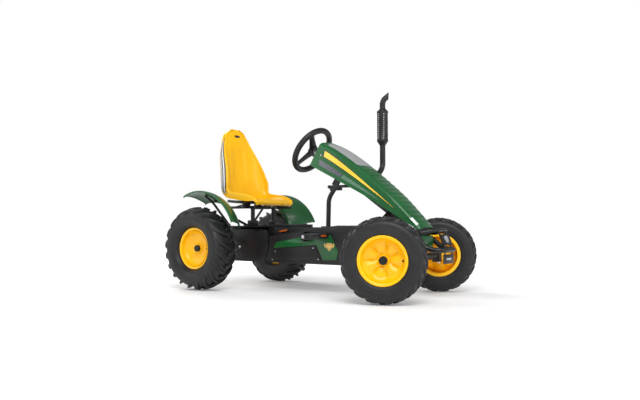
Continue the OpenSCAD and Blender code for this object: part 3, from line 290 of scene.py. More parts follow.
def thickened(obj, wall, offset=-1):
    solid = obj.modifiers.new("wall", "SOLIDIFY")
    solid.thickness, solid.offset, solid.use_even_offset = wall, offset, True
    return settle(obj)


def joined(name, parts):
    work = bmesh.new()
    for part in parts:
        work.from_mesh(part.data)
        bpy.data.objects.remove(part)
    mesh = bpy.data.meshes.new(name)
    work.to_mesh(mesh)
    work.free()
    return linkObject(name, mesh)


# Gives a finished piece its material, shading, body and the CAD nodes it stands for
def dress(obj, finishName, body, replaced=(), angle=35):
    obj.data.materials.clear()
    obj.data.materials.append(finish[finishName])
    obj.data.shade_smooth()
    obj.data.set_sharp_from_angle(angle=math.radians(angle))
    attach(obj, body)
    if replaced:
        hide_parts(*replaced)
    return obj


def spline(points, u):
    count = len(points) - 1
    s = u * count
    i = min(int(s), count - 1)
    t = s - i
    a, b, c, d = (Vector(points[k]) for k in (max(i - 1, 0), i, i + 1, min(i + 2, count)))
    return b + ((c - a) * t + (2 * a - 5 * b + 4 * c - d) * t * t + (3 * b - a - 3 * c + d) * t ** 3) / 2


def gridPiece(name, rows, ringRows=False, ringColumns=False):
    m, k = len(rows), len(rows[0])
    points = [p for row in rows for p in row]
    faces = [(i * k + j, (i + 1) % m * k + j, (i + 1) % m * k + (j + 1) % k, i * k + (j + 1) % k)
        for i in range(m if ringRows else m - 1) for j in range(k if ringColumns else k - 1)]
    return newPiece(name, points, faces)


# Turns (radius, along) points round local z; lift(radius, angle) raises them along z
def revolved(name, profile, place, steps=96, closed=True, lift=None):
    rows = []
    for i in range(steps):
        turn = 2 * math.pi * i / steps
        rows.append([place @ Vector((r * math.cos(turn), r * math.sin(turn), z + (lift(r, z, turn) if lift else 0)))
            for r, z in profile])
    return cleanMesh(gridPiece(name, rows, ringRows=True, ringColumns=closed))


# Rounds the corners of a path, then carries a ring of points along it
def tubed(name, points, radius, bend=0.03, sides=28, steps=7, flatten=1.0):
    points = [Vector(p) for p in points]
    path = [points[0]]
    for a, b, c in zip(points, points[1:], points[2:]):
        inward, outward = (a - b).normalized(), (c - b).normalized()
        reach = min(bend, (a - b).length * 0.48, (c - b).length * 0.48)
        for k in range(steps + 1):
            t = k / steps
            path.append(b + inward * reach * (1 - t) ** 2 + outward * reach * t ** 2)
    path.append(points[-1])
    ahead = [(path[min(i + 1, len(path) - 1)] - path[max(i - 1, 0)]).normalized() for i in range(len(path))]
    across = ahead[0].orthogonal().normalized()
    rows = []
    rim = radius * 0.14
    for i, (p, t) in enumerate(zip(path, ahead)):
        across = (across - t * across.dot(t)).normalized()
        other = t.cross(across)
        ends = [(0, 1)]
        if i == 0:
            ends = [(0, 0), (0, 1 - rim / radius), (rim, 1)]
        elif i == len(path) - 1:
            ends = [(-rim, 1), (0, 1 - rim / radius), (0, 0)]
        for shift, share in ends:
            rows.append([p + t * shift + (across * math.cos(a) + other * math.sin(a) * flatten) * radius * share
                for a in (2 * math.pi * j / sides for j in range(sides))])
    return cleanMesh(gridPiece(name, rows, ringColumns=True))


def boxed(name, low, high):
    points = [Vector((x, y, z)) for x in (low[0], high[0]) for y in (low[1], high[1]) for z in (low[2], high[2])]
    faces = [(0, 1, 3, 2), (4, 6, 7, 5), (0, 4, 5, 1), (2, 3, 7, 6), (0, 2, 6, 4), (1, 5, 7, 3)]
    return newPiece(name, points, faces)


# An outline pushed through a thickness, from a list of corners
def slabbed(name, outline, push):
    n = len(outline)
    points = [Vector(p) for p in outline] + [Vector(p) + Vector(push) for p in outline]
    faces = [tuple(range(n)), tuple(range(2 * n - 1, n - 1, -1))]
    faces += [(i, (i + 1) % n, n + (i + 1) % n, n + i) for i in range(n)]
    return cleanMesh(newPiece(name, points, faces))


# A CAD node's shape with its facets joined up and its edges rounded
def softened(node, width, steps=2):
    source = frame["nodes"][node]
    obj = linkObject(node + "_soft", source.data.copy())
    work = bmesh.new()
    work.from_mesh(obj.data)
    bmesh.ops.remove_doubles(work, verts=work.verts, dist=2e-6)
    bmesh.ops.dissolve_limit(work, angle_limit=math.radians(0.4), verts=work.verts, edges=work.edges)
    work.to_mesh(obj.data)
    work.free()
    for layer in list(obj.data.attributes):
        if layer.name in ("custom_normal", "sharp_face", "sharp_edge"):
            obj.data.attributes.remove(layer)
    return bevelled(obj, width, steps)


# Geometry Nodes

def newTree(name, inputs):
    tree = bpy.data.node_groups.new(name, "GeometryNodeTree")
    tree.interface.new_socket("Geometry", in_out="INPUT", socket_type="NodeSocketGeometry")
    for label, kind in inputs:
        tree.interface.new_socket(label, in_out="INPUT", socket_type=kind)
    tree.interface.new_socket("Geometry", in_out="OUTPUT", socket_type="NodeSocketGeometry")
    return tree, tree.nodes.new("NodeGroupInput"), tree.nodes.new("NodeGroupOutput")


def endTree(tree, source, sink, instances):
    real = tree.nodes.new("GeometryNodeRealizeInstances")
    paint = tree.nodes.new("GeometryNodeSetMaterial")
    tree.links.new(instances, real.inputs[0])
    tree.links.new(real.outputs[0], paint.inputs["Geometry"])
    tree.links.new(source.outputs["Finish"], paint.inputs["Material"])
    tree.links.new(paint.outputs[0], sink.inputs[0])
    return tree


def instanceOf(tree, source):
    info = tree.nodes.new("GeometryNodeObjectInfo")
    info.inputs["As Instance"].default_value = True
    tree.links.new(source.outputs["Piece"], info.inputs["Object"])
    return info.outputs["Geometry"]


# Rows of a piece, spaced by Step, repeated Count times round local z
def ringTree():
    tree, source, sink = newTree("ringOfPieces", [("Piece", "NodeSocketObject"), ("Rows", "NodeSocketInt"),
        ("Step", "NodeSocketVector"), ("Count", "NodeSocketInt"), ("Finish", "NodeSocketMaterial")])
    link = tree.links.new
    row = tree.nodes.new("GeometryNodeMeshLine")
    link(source.outputs["Rows"], row.inputs["Count"])
    link(source.outputs["Step"], row.inputs["Offset"])
    onRow = tree.nodes.new("GeometryNodeInstanceOnPoints")
    link(row.outputs[0], onRow.inputs["Points"])
    link(instanceOf(tree, source), onRow.inputs["Instance"])
    turns = tree.nodes.new("GeometryNodeMeshLine")
    turns.inputs["Offset"].default_value = (0, 0, 0)
    link(source.outputs["Count"], turns.inputs["Count"])
    index = tree.nodes.new("GeometryNodeInputIndex").outputs[0]
    share = mathNode(tree, "DIVIDE", index, source.outputs["Count"])
    turn = mathNode(tree, "MULTIPLY", share, 2 * math.pi)
    spin = tree.nodes.new("ShaderNodeCombineXYZ")
    link(turn, spin.inputs["Z"])
    onTurn = tree.nodes.new("GeometryNodeInstanceOnPoints")
    link(turns.outputs[0], onTurn.inputs["Points"])
    link(onRow.outputs[0], onTurn.inputs["Instance"])
    link(spin.outputs[0], onTurn.inputs["Rotation"])
    return endTree(tree, source, sink, onTurn.outputs[0])


# A piece on every point of the mesh that carries the modifier
def spotTree():
    tree, source, sink = newTree("piecesOnSpots", [("Piece", "NodeSocketObject"), ("Finish", "NodeSocketMaterial")])
    place = tree.nodes.new("GeometryNodeInstanceOnPoints")
    tree.links.new(source.outputs["Geometry"], place.inputs["Points"])
    tree.links.new(instanceOf(tree, source), place.inputs["Instance"])
    return endTree(tree, source, sink, place.outputs[0])


# A piece at even steps along a closed path
def pathTree():
    tree, source, sink = newTree("piecesOnPath", [("Piece", "NodeSocketObject"), ("Path", "NodeSocketObject"),
        ("Count", "NodeSocketInt"), ("Finish", "NodeSocketMaterial")])
    link = tree.links.new
    info = tree.nodes.new("GeometryNodeObjectInfo")
    link(source.outputs["Path"], info.inputs["Object"])
    steps = tree.nodes.new("GeometryNodeCurveToPoints")
    link(info.outputs["Geometry"], steps.inputs["Curve"])
    link(source.outputs["Count"], steps.inputs["Count"])
    place = tree.nodes.new("GeometryNodeInstanceOnPoints")
    link(steps.outputs["Points"], place.inputs["Points"])
    link(instanceOf(tree, source), place.inputs["Instance"])
    link(steps.outputs["Rotation"], place.inputs["Rotation"])
    return endTree(tree, source, sink, place.outputs[0])


trees = {"ring": ringTree(), "spots": spotTree(), "path": pathTree()}


# Runs one of the trees and returns its result as a plain mesh at place
def grown(name, treeName, place=Matrix.Identity(4), spots=(), **values):
    obj = newPiece(name, spots, [])
    tree = trees[treeName]
    modifier = obj.modifiers.new("grow", "NODES")
    modifier.node_group = tree
    ids = {s.name: s.identifier for s in tree.interface.items_tree if s.in_out == "INPUT"}
    for label, value in values.items():
        modifier[ids[label.capitalize()]] = value
    settle(obj)
    for label in ("piece", "path"):
        if label in values:
            bpy.data.objects.remove(values[label])
    obj.data.transform(place)
    return obj


# Wheels

wheelLook = {
    "front": dict(radius=0.200, width=0.130, bead=0.102, rimWidth=0.116, flange=0.115, lugs=19, lugHeight=0.0085,
        lugWide=0.024, sweep=15, lowAngle=38),
    "rear": dict(radius=0.230, width=0.165, bead=0.102, rimWidth=0.092, flange=0.115, lugs=20, lugHeight=0.0165,
        lugWide=0.0185, sweep=17, lowAngle=24),
}


# The matrix of a wheel: local z points outwards along the spindle from the tyre's middle
def wheelFrame(end, side):
    low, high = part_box(f"{end}_tyre_{sideName[side]}")
    middle = (low + high) / 2
    axis = Vector(joints["left_front_spin"]["axis"]) if end == "front" else Vector((0, 1, 0))
    outward = axis.normalized() * side
    up = Vector((0, 0, 1))
    return Matrix.Translation(middle) @ Matrix((up.cross(outward), up, outward)).transposed().to_4x4()


# The outside of a tyre at angle a: 90 on the tread's middle, 0 at the widest, -90 at the bead
def tyrePoint(look, a, sunk=0.0):
    seat = look["rimWidth"] / 2 - 0.004
    low = look["flange"] + 0.0015
    r, w = look["radius"] - sunk, look["width"] / 2 - min(sunk, 0.004)
    mid = low + (look["radius"] - low) * 0.45
    a = math.radians(a)
    if a < 0:
        return mid + (mid - low) * math.sin(a), seat + (w - seat) * math.cos(a)
    return mid + (r - mid) * math.sin(a) ** 0.75, w * max(math.cos(a), 0) ** 0.75


def sideRibs(r, look):  # the raised rings on a tyre's sidewall
    spread = (r - look["flange"]) / (look["radius"] - look["flange"])
    return sum(0.0011 * math.exp(-((spread - at) / 0.022) ** 2) for at in (0.16, 0.30, 0.345))


def tyreBody(name, look, place):
    seat = look["rimWidth"] / 2 - 0.004
    half = []
    for a in [-90 + 5 * k for k in range(19)] + [4.5 * k for k in range(1, 21)]:
        r, z = tyrePoint(look, a, look["lugHeight"])
        half.append((r, z + sideRibs(r, look)))
    profile = [(look["bead"], seat - 0.010), (look["bead"], seat)] + half
    profile += [(r, -z) for r, z in reversed(profile[:-1])]
    inner = [(look["bead"] + 0.012, -seat + 0.012), (look["radius"] - 0.05, -look["width"] / 2 + 0.018),
        (look["radius"] - 0.035, 0), (look["radius"] - 0.05, look["width"] / 2 - 0.018),
        (look["bead"] + 0.012, seat - 0.012)]
    return revolved(name, profile + inner, place, steps=120)


# A tread lug from the middle of the tread over the shoulder, narrower on top than at its foot
def lugPiece(look, side):
    rows = []
    stations = 8
    for k in range(stations):
        t = k / (stations - 1)
        a = 93 - (93 - look["lowAngle"]) * t ** 0.9
        topR, topZ = tyrePoint(look, min(a, 90))
        footR, footZ = tyrePoint(look, min(a, 90), look["lugHeight"] + 0.004)
        if a > 90:
            topZ = footZ = -0.004
        if k == stations - 1:
            topR, topZ = topR - 0.003, topZ - 0.004
        turn = math.radians(look["sweep"]) * t
        wide = look["lugWide"] * (0.78 + 0.35 * t)
        row = []
        for r, z, across in ((footR, footZ, -wide / 2), (topR, topZ, -wide / 2 + 0.0025),
                (topR, topZ, wide / 2 - 0.0025), (footR, footZ, wide / 2)):
            spin = turn + across / r
            row.append(Vector((r * math.cos(spin), r * math.sin(spin), z * side)))
        rows.append(row)
    lug = gridPiece("lug", rows, ringColumns=True)
    ends = bmesh.new()
    ends.from_mesh(lug.data)
    ends.verts.ensure_lookup_table()
    ends.faces.new([ends.verts[i] for i in range(3, -1, -1)])
    ends.faces.new([ends.verts[(stations - 1) * 4 + i] for i in range(4)])
    ends.to_mesh(lug.data)
    ends.free()
    cleanMesh(lug)
    if side < 0:
        lug.data.transform(Matrix.Rotation(math.pi / look["lugs"], 4, "Z"))
    return bevelled(lug, 0.0016, 1, angle=40)


def makeTyre(end, side, body):
    look = wheelLook[end]
    name = f"tread_{end}_{sideName[side]}"
    place = wheelFrame(end, side)
    lugs = joined("lugPair", [lugPiece(look, 1), lugPiece(look, -1)])
    tread = grown("lugs", "ring", place, piece=lugs, rows=1, step=(0, 0, 0), count=look["lugs"],
        finish=finish["rubber"])
    tyre = joined(name, [tyreBody("carcass", look, place), tread])
    dress(tyre, "rubber", body, [f"{end}_tyre_{sideName[side]}"], angle=38)


rimLook = {
    "front": dict(petals=7, petalDepth=0.015, petalIn=0.029, petalOut=0.084, hub=0.024, hubIn=0.030, hubOut=0.016,
        bore=0.0084, dish=((0.0275, 0.007), (0.032, 0.009), (0.045, 0.011), (0.060, 0.013), (0.072, 0.0155),
        (0.080, 0.019), (0.088, 0.026), (0.094, 0.033), (0.098, 0.040))),
    "rear": dict(petals=0, petalDepth=0, petalIn=0, petalOut=1, hub=0.0255, hubIn=0.040, hubOut=0.014,
        bore=0.0129, dish=((0.028, 0.005), (0.036, 0.0015), (0.050, 0.002), (0.066, 0.0045), (0.080, 0.010),
        (0.090, 0.017), (0.096, 0.026), (0.0985, 0.036))),
}


def makeRim(end, side, body):
    look, tyre = rimLook[end], wheelLook[end]
    half, bead, flange = tyre["rimWidth"] / 2, tyre["bead"], tyre["flange"]
    wall = 0.0035
    dish = look["dish"]
    lipR = bead - wall

    def petalLift(r, z, turn):
        if not look["petals"] or not look["petalIn"] < r < look["petalOut"] or z < -0.01:
            return 0
        share = (r - look["petalIn"]) / (look["petalOut"] - look["petalIn"])
        swell = math.sin(math.pi * share ** 1.25) ** 0.65
        leaf = abs(math.cos(look["petals"] * turn / 2)) ** 0.75
        return look["petalDepth"] * swell * (leaf - 0.55)

    face = [(look["hub"], look["hubOut"] - 0.002), (look["hub"] + 0.001, dish[0][1] + 0.002)] + list(dish)
    face += [(lipR, dish[-1][1] + 0.008), (lipR, half - 0.010), (lipR + 0.001, half - 0.005),
        (bead + 0.002, half - 0.001), (flange - 0.006, half + 0.0005), (flange - 0.002, half + 0.0015),
        (flange, half - 0.001), (flange - 0.001, half - 0.004), (bead, half - 0.005)]
    back = [(bead, -half + 0.005), (flange - 0.001, -half + 0.004), (flange, -half + 0.001),
        (flange - 0.003, -half), (bead - wall, -half + 0.001), (lipR, dish[-1][1] - 0.004)]
    back += [(r, z - wall) for r, z in reversed(dish)]
    back += [(look["hub"], dish[0][1] - wall), (look["hub"], -look["hubIn"]), (look["bore"], -look["hubIn"]),
        (look["bore"], look["hubOut"]), (look["hub"] - 0.002, look["hubOut"])]
    steps = 196 if look["petals"] else 120
    rim = revolved(f"rimShape_{end}_{sideName[side]}", face + back, wheelFrame(end, side), steps=steps,
        lift=petalLift)
    dress(rim, "rimPlastic", body, [f"{end}_rim_{sideName[side]}"], angle=42)


# The valve's stub, a few turned rings of radius and length
def makeValve(end, side, body):
    look = wheelLook[end]
    outAt = look["rimWidth"] / 2 - 0.022
    profile = [(0, 0), (0.0045, 0), (0.0045, 0.006), (0.0035, 0.008), (0.0035, 0.018), (0.0042, 0.019),
        (0.0042, 0.026), (0.003, 0.0275), (0, 0.0275)]
    place = wheelFrame(end, side) @ Matrix.Translation((0.090, 0.0, outAt - 0.012))
    valve = revolved(f"valve_{end}_{sideName[side]}", profile, place, steps=20, closed=False)
    dress(valve, "blackPlastic", body)


capLook = {
    "front": dict(radius=0.020, start=0.016, depth=0.016),
    "rear": dict(radius=0.018, start=0.0143, depth=0.016),
}


def makeCap(end, side, body, nodes):
    look = capLook[end]
    r, z, deep = look["radius"], look["start"], look["depth"]
    profile = [(0, z + 0.001), (r, z + 0.0003), (r, z + deep * 0.72), (r - 0.001, z + deep * 0.9),
        (r - 0.003, z + deep), (r * 0.62, z + deep), (r * 0.56, z + deep - 0.0022), (0, z + deep - 0.0028)]
    cap = revolved(f"hubCap_{end}_{sideName[side]}", profile, wheelFrame(end, side), steps=64, closed=False)
    dress(cap, "blackPlastic", body, nodes)


wheelBody = {("front", right): "right_front_wheel", ("front", left): "left_front_wheel",
    ("rear", right): "drive_axle", ("rear", left): "left_rear_wheel"}
for (end, side), body in wheelBody.items():
    makeTyre(end, side, body)
    makeRim(end, side, body)
    makeValve(end, side, body)
for side in (right, left):
    makeCap("front", side, wheelBody["front", side], [f"front_cap_{sideName[side]}"])
    makeCap("rear", side, "drive_axle", ["axle_caps"])
print("wheels made")


# Seat

# The centre line runs from the front lip over the pan and up the back: x from the seat's post, then z.
# shape holds the half width, how far the sides rise from that line, and how deep the skirt is.
seat = dict(
    line=[(80, 472), (91, 488), (74, 504), (20, 506), (-60, 507), (-122, 516), (-158, 548), (-176, 610),
        (-185, 690), (-196, 780), (-205, 840), (-213, 890), (-217, 922), (-219, 935)],
    shape=[(152, 0, 8), (163, 0, 14), (168, 6, 18), (172, 26, 42), (178, 36, 42), (182, 40, 42), (184, 48, 48),
        (182, 58, 54), (164, 44, 54), (140, 16, 42), (116, 2, 30), (92, -4, 30), (66, -3, 28), (34, 0, 24)],
    roll=8, wall=4, rows=104, across=18, skirtSteps=6)


def seatFrame(u):
    ahead = spline(seat["line"], min(u + 0.01, 1)) - spline(seat["line"], max(u - 0.01, 0))
    ahead.normalize()
    return spline(seat["line"], u), Vector((ahead.y, -ahead.x)), spline([Vector(s) for s in seat["shape"]], u)


# A point of the seat: forward along the normal by rise, sideways by across
def seatAt(u, across, rise):
    line, normal, shape = seatFrame(u)
    p = line + normal * rise
    return Vector((seatX + p.x * mm, across * mm, p.y * mm))


# The shallow panel sunk into the small of the back
def lumbar(u, y):
    steps = ((u - 0.52) / 0.05, (0.76 - u) / 0.05, (58 - abs(y)) / 16)
    depth = 6.0
    for step in steps:
        depth *= max(0.0, min(1.0, step))
    return depth


# The section from one skirt's lower edge over the seat to the other
def seatRow(u):
    shape = seatFrame(u)[2]
    half, rise, deep = shape
    roll = min(seat["roll"], half * 0.3)
    face = half - 2 * roll
    middle = [(face * math.sin(math.radians(90 * k / seat["across"])) ** 0.85,
        (rise - roll * 0.6) * (1 - math.cos(math.radians(90 * k / seat["across"])) ** 0.8))
        for k in range(seat["across"] + 1)]
    middle = [(y, z - lumbar(u, y)) for y, z in middle]
    over = [(half - roll - roll * math.cos(math.radians(a)), rise - roll * 0.6 + roll * math.sin(math.radians(a)))
        for a in range(30, 181, 30)]
    top = over[-1][1]
    skirt = [(half + 1.5 * k / seat["skirtSteps"], top - (deep - roll) * k / seat["skirtSteps"])
        for k in range(1, seat["skirtSteps"] + 1)]
    half = middle + over + skirt
    return [seatAt(u, -y, z) for y, z in reversed(half[1:])] + [seatAt(u, y, z) for y, z in half]


def makeSeat():
    rows = [seatRow(i / seat["rows"]) for i in range(seat["rows"] + 1)]
    last = rows[-1]
    normal = seatFrame(1)[1]
    for back, up in ((-3, 2.5), (-8, 4), (-14, 4), (-24, 3)):
        push = Vector((normal.x * back * mm, 0, up * mm))
        low = seatAt(1, 0, -24).x
        rows.append([Vector((max(p.x + push.x, low), p.y * (1 + up * 0.012), p.z + push.z)) for p in last])
    shell = cleanMesh(gridPiece("seatShell", rows), turnOut=False)
    smooth = shell.modifiers.new("soften", "SMOOTH")
    smooth.factor, smooth.iterations = 0.4, 3
    settle(shell)
    thickened(shell, seat["wall"] * mm, offset=1)
    dress(cleanMesh(shell), "yellowPlastic", "seat", ["seat_shell"], angle=60)


# A stripe on the seat's outer side, between two shares of the skirt's depth that close up at both ends
def seatStripe(name, side, start, end, near, far, finishName):
    rows = []
    steps = 40
    for i in range(steps + 1):
        t = i / steps
        u = start + (end - start) * t
        half, rise, deep = seatFrame(u)[2]
        taper = min(1, 5 * t, 3.5 * (1 - t)) ** 0.6
        slant = 0.16 * (1 - t) ** 3
        middle = (near + far) / 2 + slant
        wide = (far - near) / 2 * taper
        row = []
        for k in range(3):
            share = middle + wide * (k - 1)
            row.append(seatAt(u, side * (half + 1.9 + 1.2 * share), rise - 3 - (deep - 6) * share))
        rows.append(row)
    stripe = gridPiece(name, rows)
    if side < 0:
        stripe.data.flip_normals()
    thickened(stripe, 0.0006, offset=1)
    dress(cleanMesh(stripe), finishName, "seat")


makeSeat()
for side in (right, left):
    for label, start, end, near, far, finishName in (("pale", 0.42, 0.80, 0.56, 0.84, "decalGrey"),
            ("rear", 0.39, 0.83, 0.40, 0.56, "decalBlack"), ("white", 0.40, 0.82, 0.24, 0.40, "decalWhite"),
            ("fore", 0.39, 0.86, 0.02, 0.24, "decalBlack")):
        seatStripe(f"seatStripe_{label}_{sideName[side]}", side, start, end, near, far, finishName)


seatBadge = dict(at=0.858, halfWide=21, halfTall=0.014, lift=1.2)


# The small dark badge at the top of the backrest
def makeSeatBadge():
    b = seatBadge
    rows = []
    for i in range(9):
        across = b["halfWide"] * (i / 4 - 1)
        tall = b["halfTall"] * (1 - (across / b["halfWide"]) ** 4 * 0.55)
        rise = b["lift"] + 0.004 * across ** 2
        rows.append([seatAt(b["at"] + tall * k / 2, across, rise) for k in range(-2, 3)])
    badge = gridPiece("seatBadge", rows)
    badge.data.flip_normals()
    thickened(badge, 0.0012, offset=1)
    dress(cleanMesh(badge), "decalBlack", "seat")


makeSeatBadge()
print("seat made")


# Hood

hood = dict(
    top=[(-506, 807), (-428, 770), (-340, 715), (-250, 651), (-160, 581), (-70, 506), (11, 427), (88, 350)],
    low=[(-573, 682), (-497, 644), (-415, 603), (-330, 560), (-240, 514), (-145, 461), (-45, 400), (66, 336)],
    half=[(76, 100), (76, 99), (75, 97), (73, 95), (71, 92), (68, 88), (63, 82), (56, 74)],
    crown=8, shoulder=(14, 11), wall=4, rows=320, ridges=13, ridgeFrom=0.405, ridgeTo=0.95, ridgeHeight=2.8)


# A point on the hood: u along it, q across: 0 to 1 the top, 1 to 2 the shoulder, 2 to 3 the side
def hoodAt(u, q, side=right, lift=0.0):
    top, low = spline(hood["top"], u), spline(hood["low"], u)
    yTop, yLow = spline(hood["half"], u)
    depth = (low - top).length
    down = (low - top) / depth
    wide, fall = hood["shoulder"][0], min(hood["shoulder"][1], depth * 0.35)
    crown = min(hood["crown"], depth * 0.3)
    if q <= 1:
        y, z, ny, nz = yTop * q, crown * q * q, 0.2 * q, -1
    elif q <= 2:
        s = q - 1
        y, z, ny, nz = yTop + wide * s, crown + fall * s ** 1.4, 0.2 + 0.75 * s, -1
    else:
        s = q - 2
        y, z = yTop + wide + (yLow - yTop - wide) * s, crown + fall + (depth - crown - fall) * s
        ny, nz = 1, -0.9 * max(0, 1 - 12 * s) - 0.06
    push = Vector((ny, nz)).normalized() * lift
    y, z = y + push.x, z + push.y
    return Vector((frontX + (top.x + down.x * z) * mm, side * y * mm, (top.y + down.y * z) * mm))


def ridgeLift(u, q):  # the louvre ridges across the lower part of the top
    if not hood["ridgeFrom"] < u < hood["ridgeTo"]:
        return 0
    share = (u - hood["ridgeFrom"]) / (hood["ridgeTo"] - hood["ridgeFrom"]) * hood["ridges"] % 1
    wave = (0.5 - 0.5 * math.cos(2 * math.pi * share ** 1.5)) ** 0.8
    fade = max(0.0, min(1.0, (0.97 - q) / 0.12))
    return hood["ridgeHeight"] * wave * fade


def makeHood():
    qs = [k / 7 for k in range(6)] + [0.85, 0.91, 0.97, 1] + [1 + k / 6 for k in range(1, 7)]
    qs += [2 + k / 5 for k in range(1, 6)]
    rows = []
    for i in range(hood["rows"] + 1):
        u = i / hood["rows"]
        rows.append([hoodAt(u, q, right, ridgeLift(u, q)) for q in reversed(qs[1:])]
            + [hoodAt(u, q, left, ridgeLift(u, q)) for q in qs])
    shell = cleanMesh(gridPiece("hoodShell", rows), turnOut=False)
    thickened(shell, hood["wall"] * mm, offset=-1)
    dress(cleanMesh(shell), "greenPlastic", "frame", ["hood"], angle=32)


# A thin patch that follows the hood between two edges given as lists of (u, q)
def hoodPatch(name, side, lower, upper, finishName, lift=0.5, thick=0.5, steps=40, across=6):
    rows = []
    for i in range(steps + 1):
        a, b = spline([Vector(p) for p in lower], i / steps), spline([Vector(p) for p in upper], i / steps)
        rows.append([hoodAt(*(a + (b - a) * k / across), side, lift) for k in range(across + 1)])
    patch = gridPiece(name, rows)
    if side > 0:
        patch.data.flip_normals()
    thickened(patch, thick * mm, offset=1)
    dress(cleanMesh(patch), finishName, "frame")


hoodPatches = {
    "stripeEdge": dict(lower=((0.095, 2.415), (0.30, 2.44), (0.55, 2.47), (0.80, 2.48)),
        upper=((0.080, 2.125), (0.30, 2.19), (0.55, 2.30), (0.80, 2.46)), finishName="decalBlack", lift=0.3),
    "stripe": dict(lower=((0.104, 2.385), (0.30, 2.41), (0.55, 2.44), (0.785, 2.475)),
        upper=((0.092, 2.15), (0.30, 2.215), (0.55, 2.325), (0.785, 2.462)), finishName="decalYellow", lift=0.7),
    "window": dict(lower=((0.100, 2.80), (0.21, 2.82), (0.32, 2.82)),
        upper=((0.075, 2.58), (0.19, 2.60), (0.33, 2.61)), finishName="decalDark", lift=0.4),
    "windowFade": dict(lower=((0.33, 2.82), (0.50, 2.80), (0.68, 2.72)),
        upper=((0.34, 2.61), (0.50, 2.64), (0.69, 2.69)), finishName="decalGreen", lift=0.4),
    "noseWhite": dict(lower=((0.90, 2.04), (0.93, 2.04), (0.955, 2.04)),
        upper=((0.90, 1.3), (0.93, 1.3), (0.955, 1.3)), finishName="decalWhite", lift=0.5),
}


def makeHoodTrim():
    for side in (right, left):
        for label, patch in hoodPatches.items():
            hoodPatch(f"hood_{label}_{sideName[side]}", side, **patch)
    rows = []
    for i in range(41):
        t = i / 40
        u = 0.06 + 0.33 * t
        wide = 0.96 * min(1, (t / 0.06 + 0.2) ** 0.5, ((1 - t) / 0.05 + 0.3) ** 0.5)
        rows.append([hoodAt(u, abs(k) / 10 * wide, right if k < 0 else left, 0.6) for k in range(-10, 11)])
    panel = gridPiece("hoodTopPanel", rows)
    thickened(panel, 0.0012, offset=1)
    dress(cleanMesh(panel), "decalGrey", "frame")


makeHood()
makeHoodTrim()
print("hood made")


# Fenders

fender = dict(fromAngle=23.6, toAngle=115, outer=286, inner=(195, 246), yIn=217, yOut=370, bow=14, lip=12, wall=4,
    rows=70, across=16)
fenderMiddle = rearAxle + Vector((0.003, 0, 0.0355))


def fenderAt(side, t, v, drop=0.0, out=0.0):
    a = math.radians(fender["fromAngle"] + (fender["toAngle"] - fender["fromAngle"]) * t)
    inner = fender["inner"][0] + (fender["inner"][1] - fender["inner"][0]) * t
    r = (inner + (fender["outer"] - inner) * v + fender["bow"] * math.sin(math.pi * v) - drop) * mm
    y = (fender["yIn"] + (fender["yOut"] - fender["yIn"]) * v + out) * mm
    return fenderMiddle + Vector((r * math.cos(a), side * y, r * math.sin(a)))


def makeFender(side):
    rows = []
    n = fender["across"]
    lip = fender["lip"]
    for i in range(fender["rows"] + 1):
        t = i / fender["rows"]
        row = [fenderAt(side, t, 0, lip), fenderAt(side, t, 0, 5), fenderAt(side, t, 0.008, 1.5)]
        row += [fenderAt(side, t, 0.03 + 0.94 * k / n) for k in range(n + 1)]
        row += [fenderAt(side, t, 0.985, 0.5), fenderAt(side, t, 1, 2, 0.4), fenderAt(side, t, 1, 5, 1.4),
            fenderAt(side, t, 1, lip, 1.8)]
        rows.append(row)
    tip = fender["wall"] / 2
    for row in (rows[0], rows[-1]):  # a small turned-down rim at both tips
        row[:] = [p + Vector((0, 0, -tip * mm)) for p in row]
    shell = gridPiece("fenderSheet", rows)
    if side > 0:
        shell.data.flip_normals()
    thickened(cleanMesh(shell, turnOut=False), fender["wall"] * mm, offset=-1)
    shell.name = f"fenderShell_{sideName[side]}"
    dress(cleanMesh(shell), "fenderPlastic", "frame", [f"fender_{sideName[side]}"], angle=50)


for side in (right, left):
    makeFender(side)


# Exhaust

exhaust = dict(x=303, y=150, footZ=624, footY=92.1, bendZ=672, low=789, coneLow=812, coneTop=976, top=994,
    turnZ=1035, pipeR=15, mufflerR=31, outletR=15.5, reach=32, slotColumns=6, slotRows=13)
outlet = dict(yaw=math.radians(36), rise=math.radians(39))


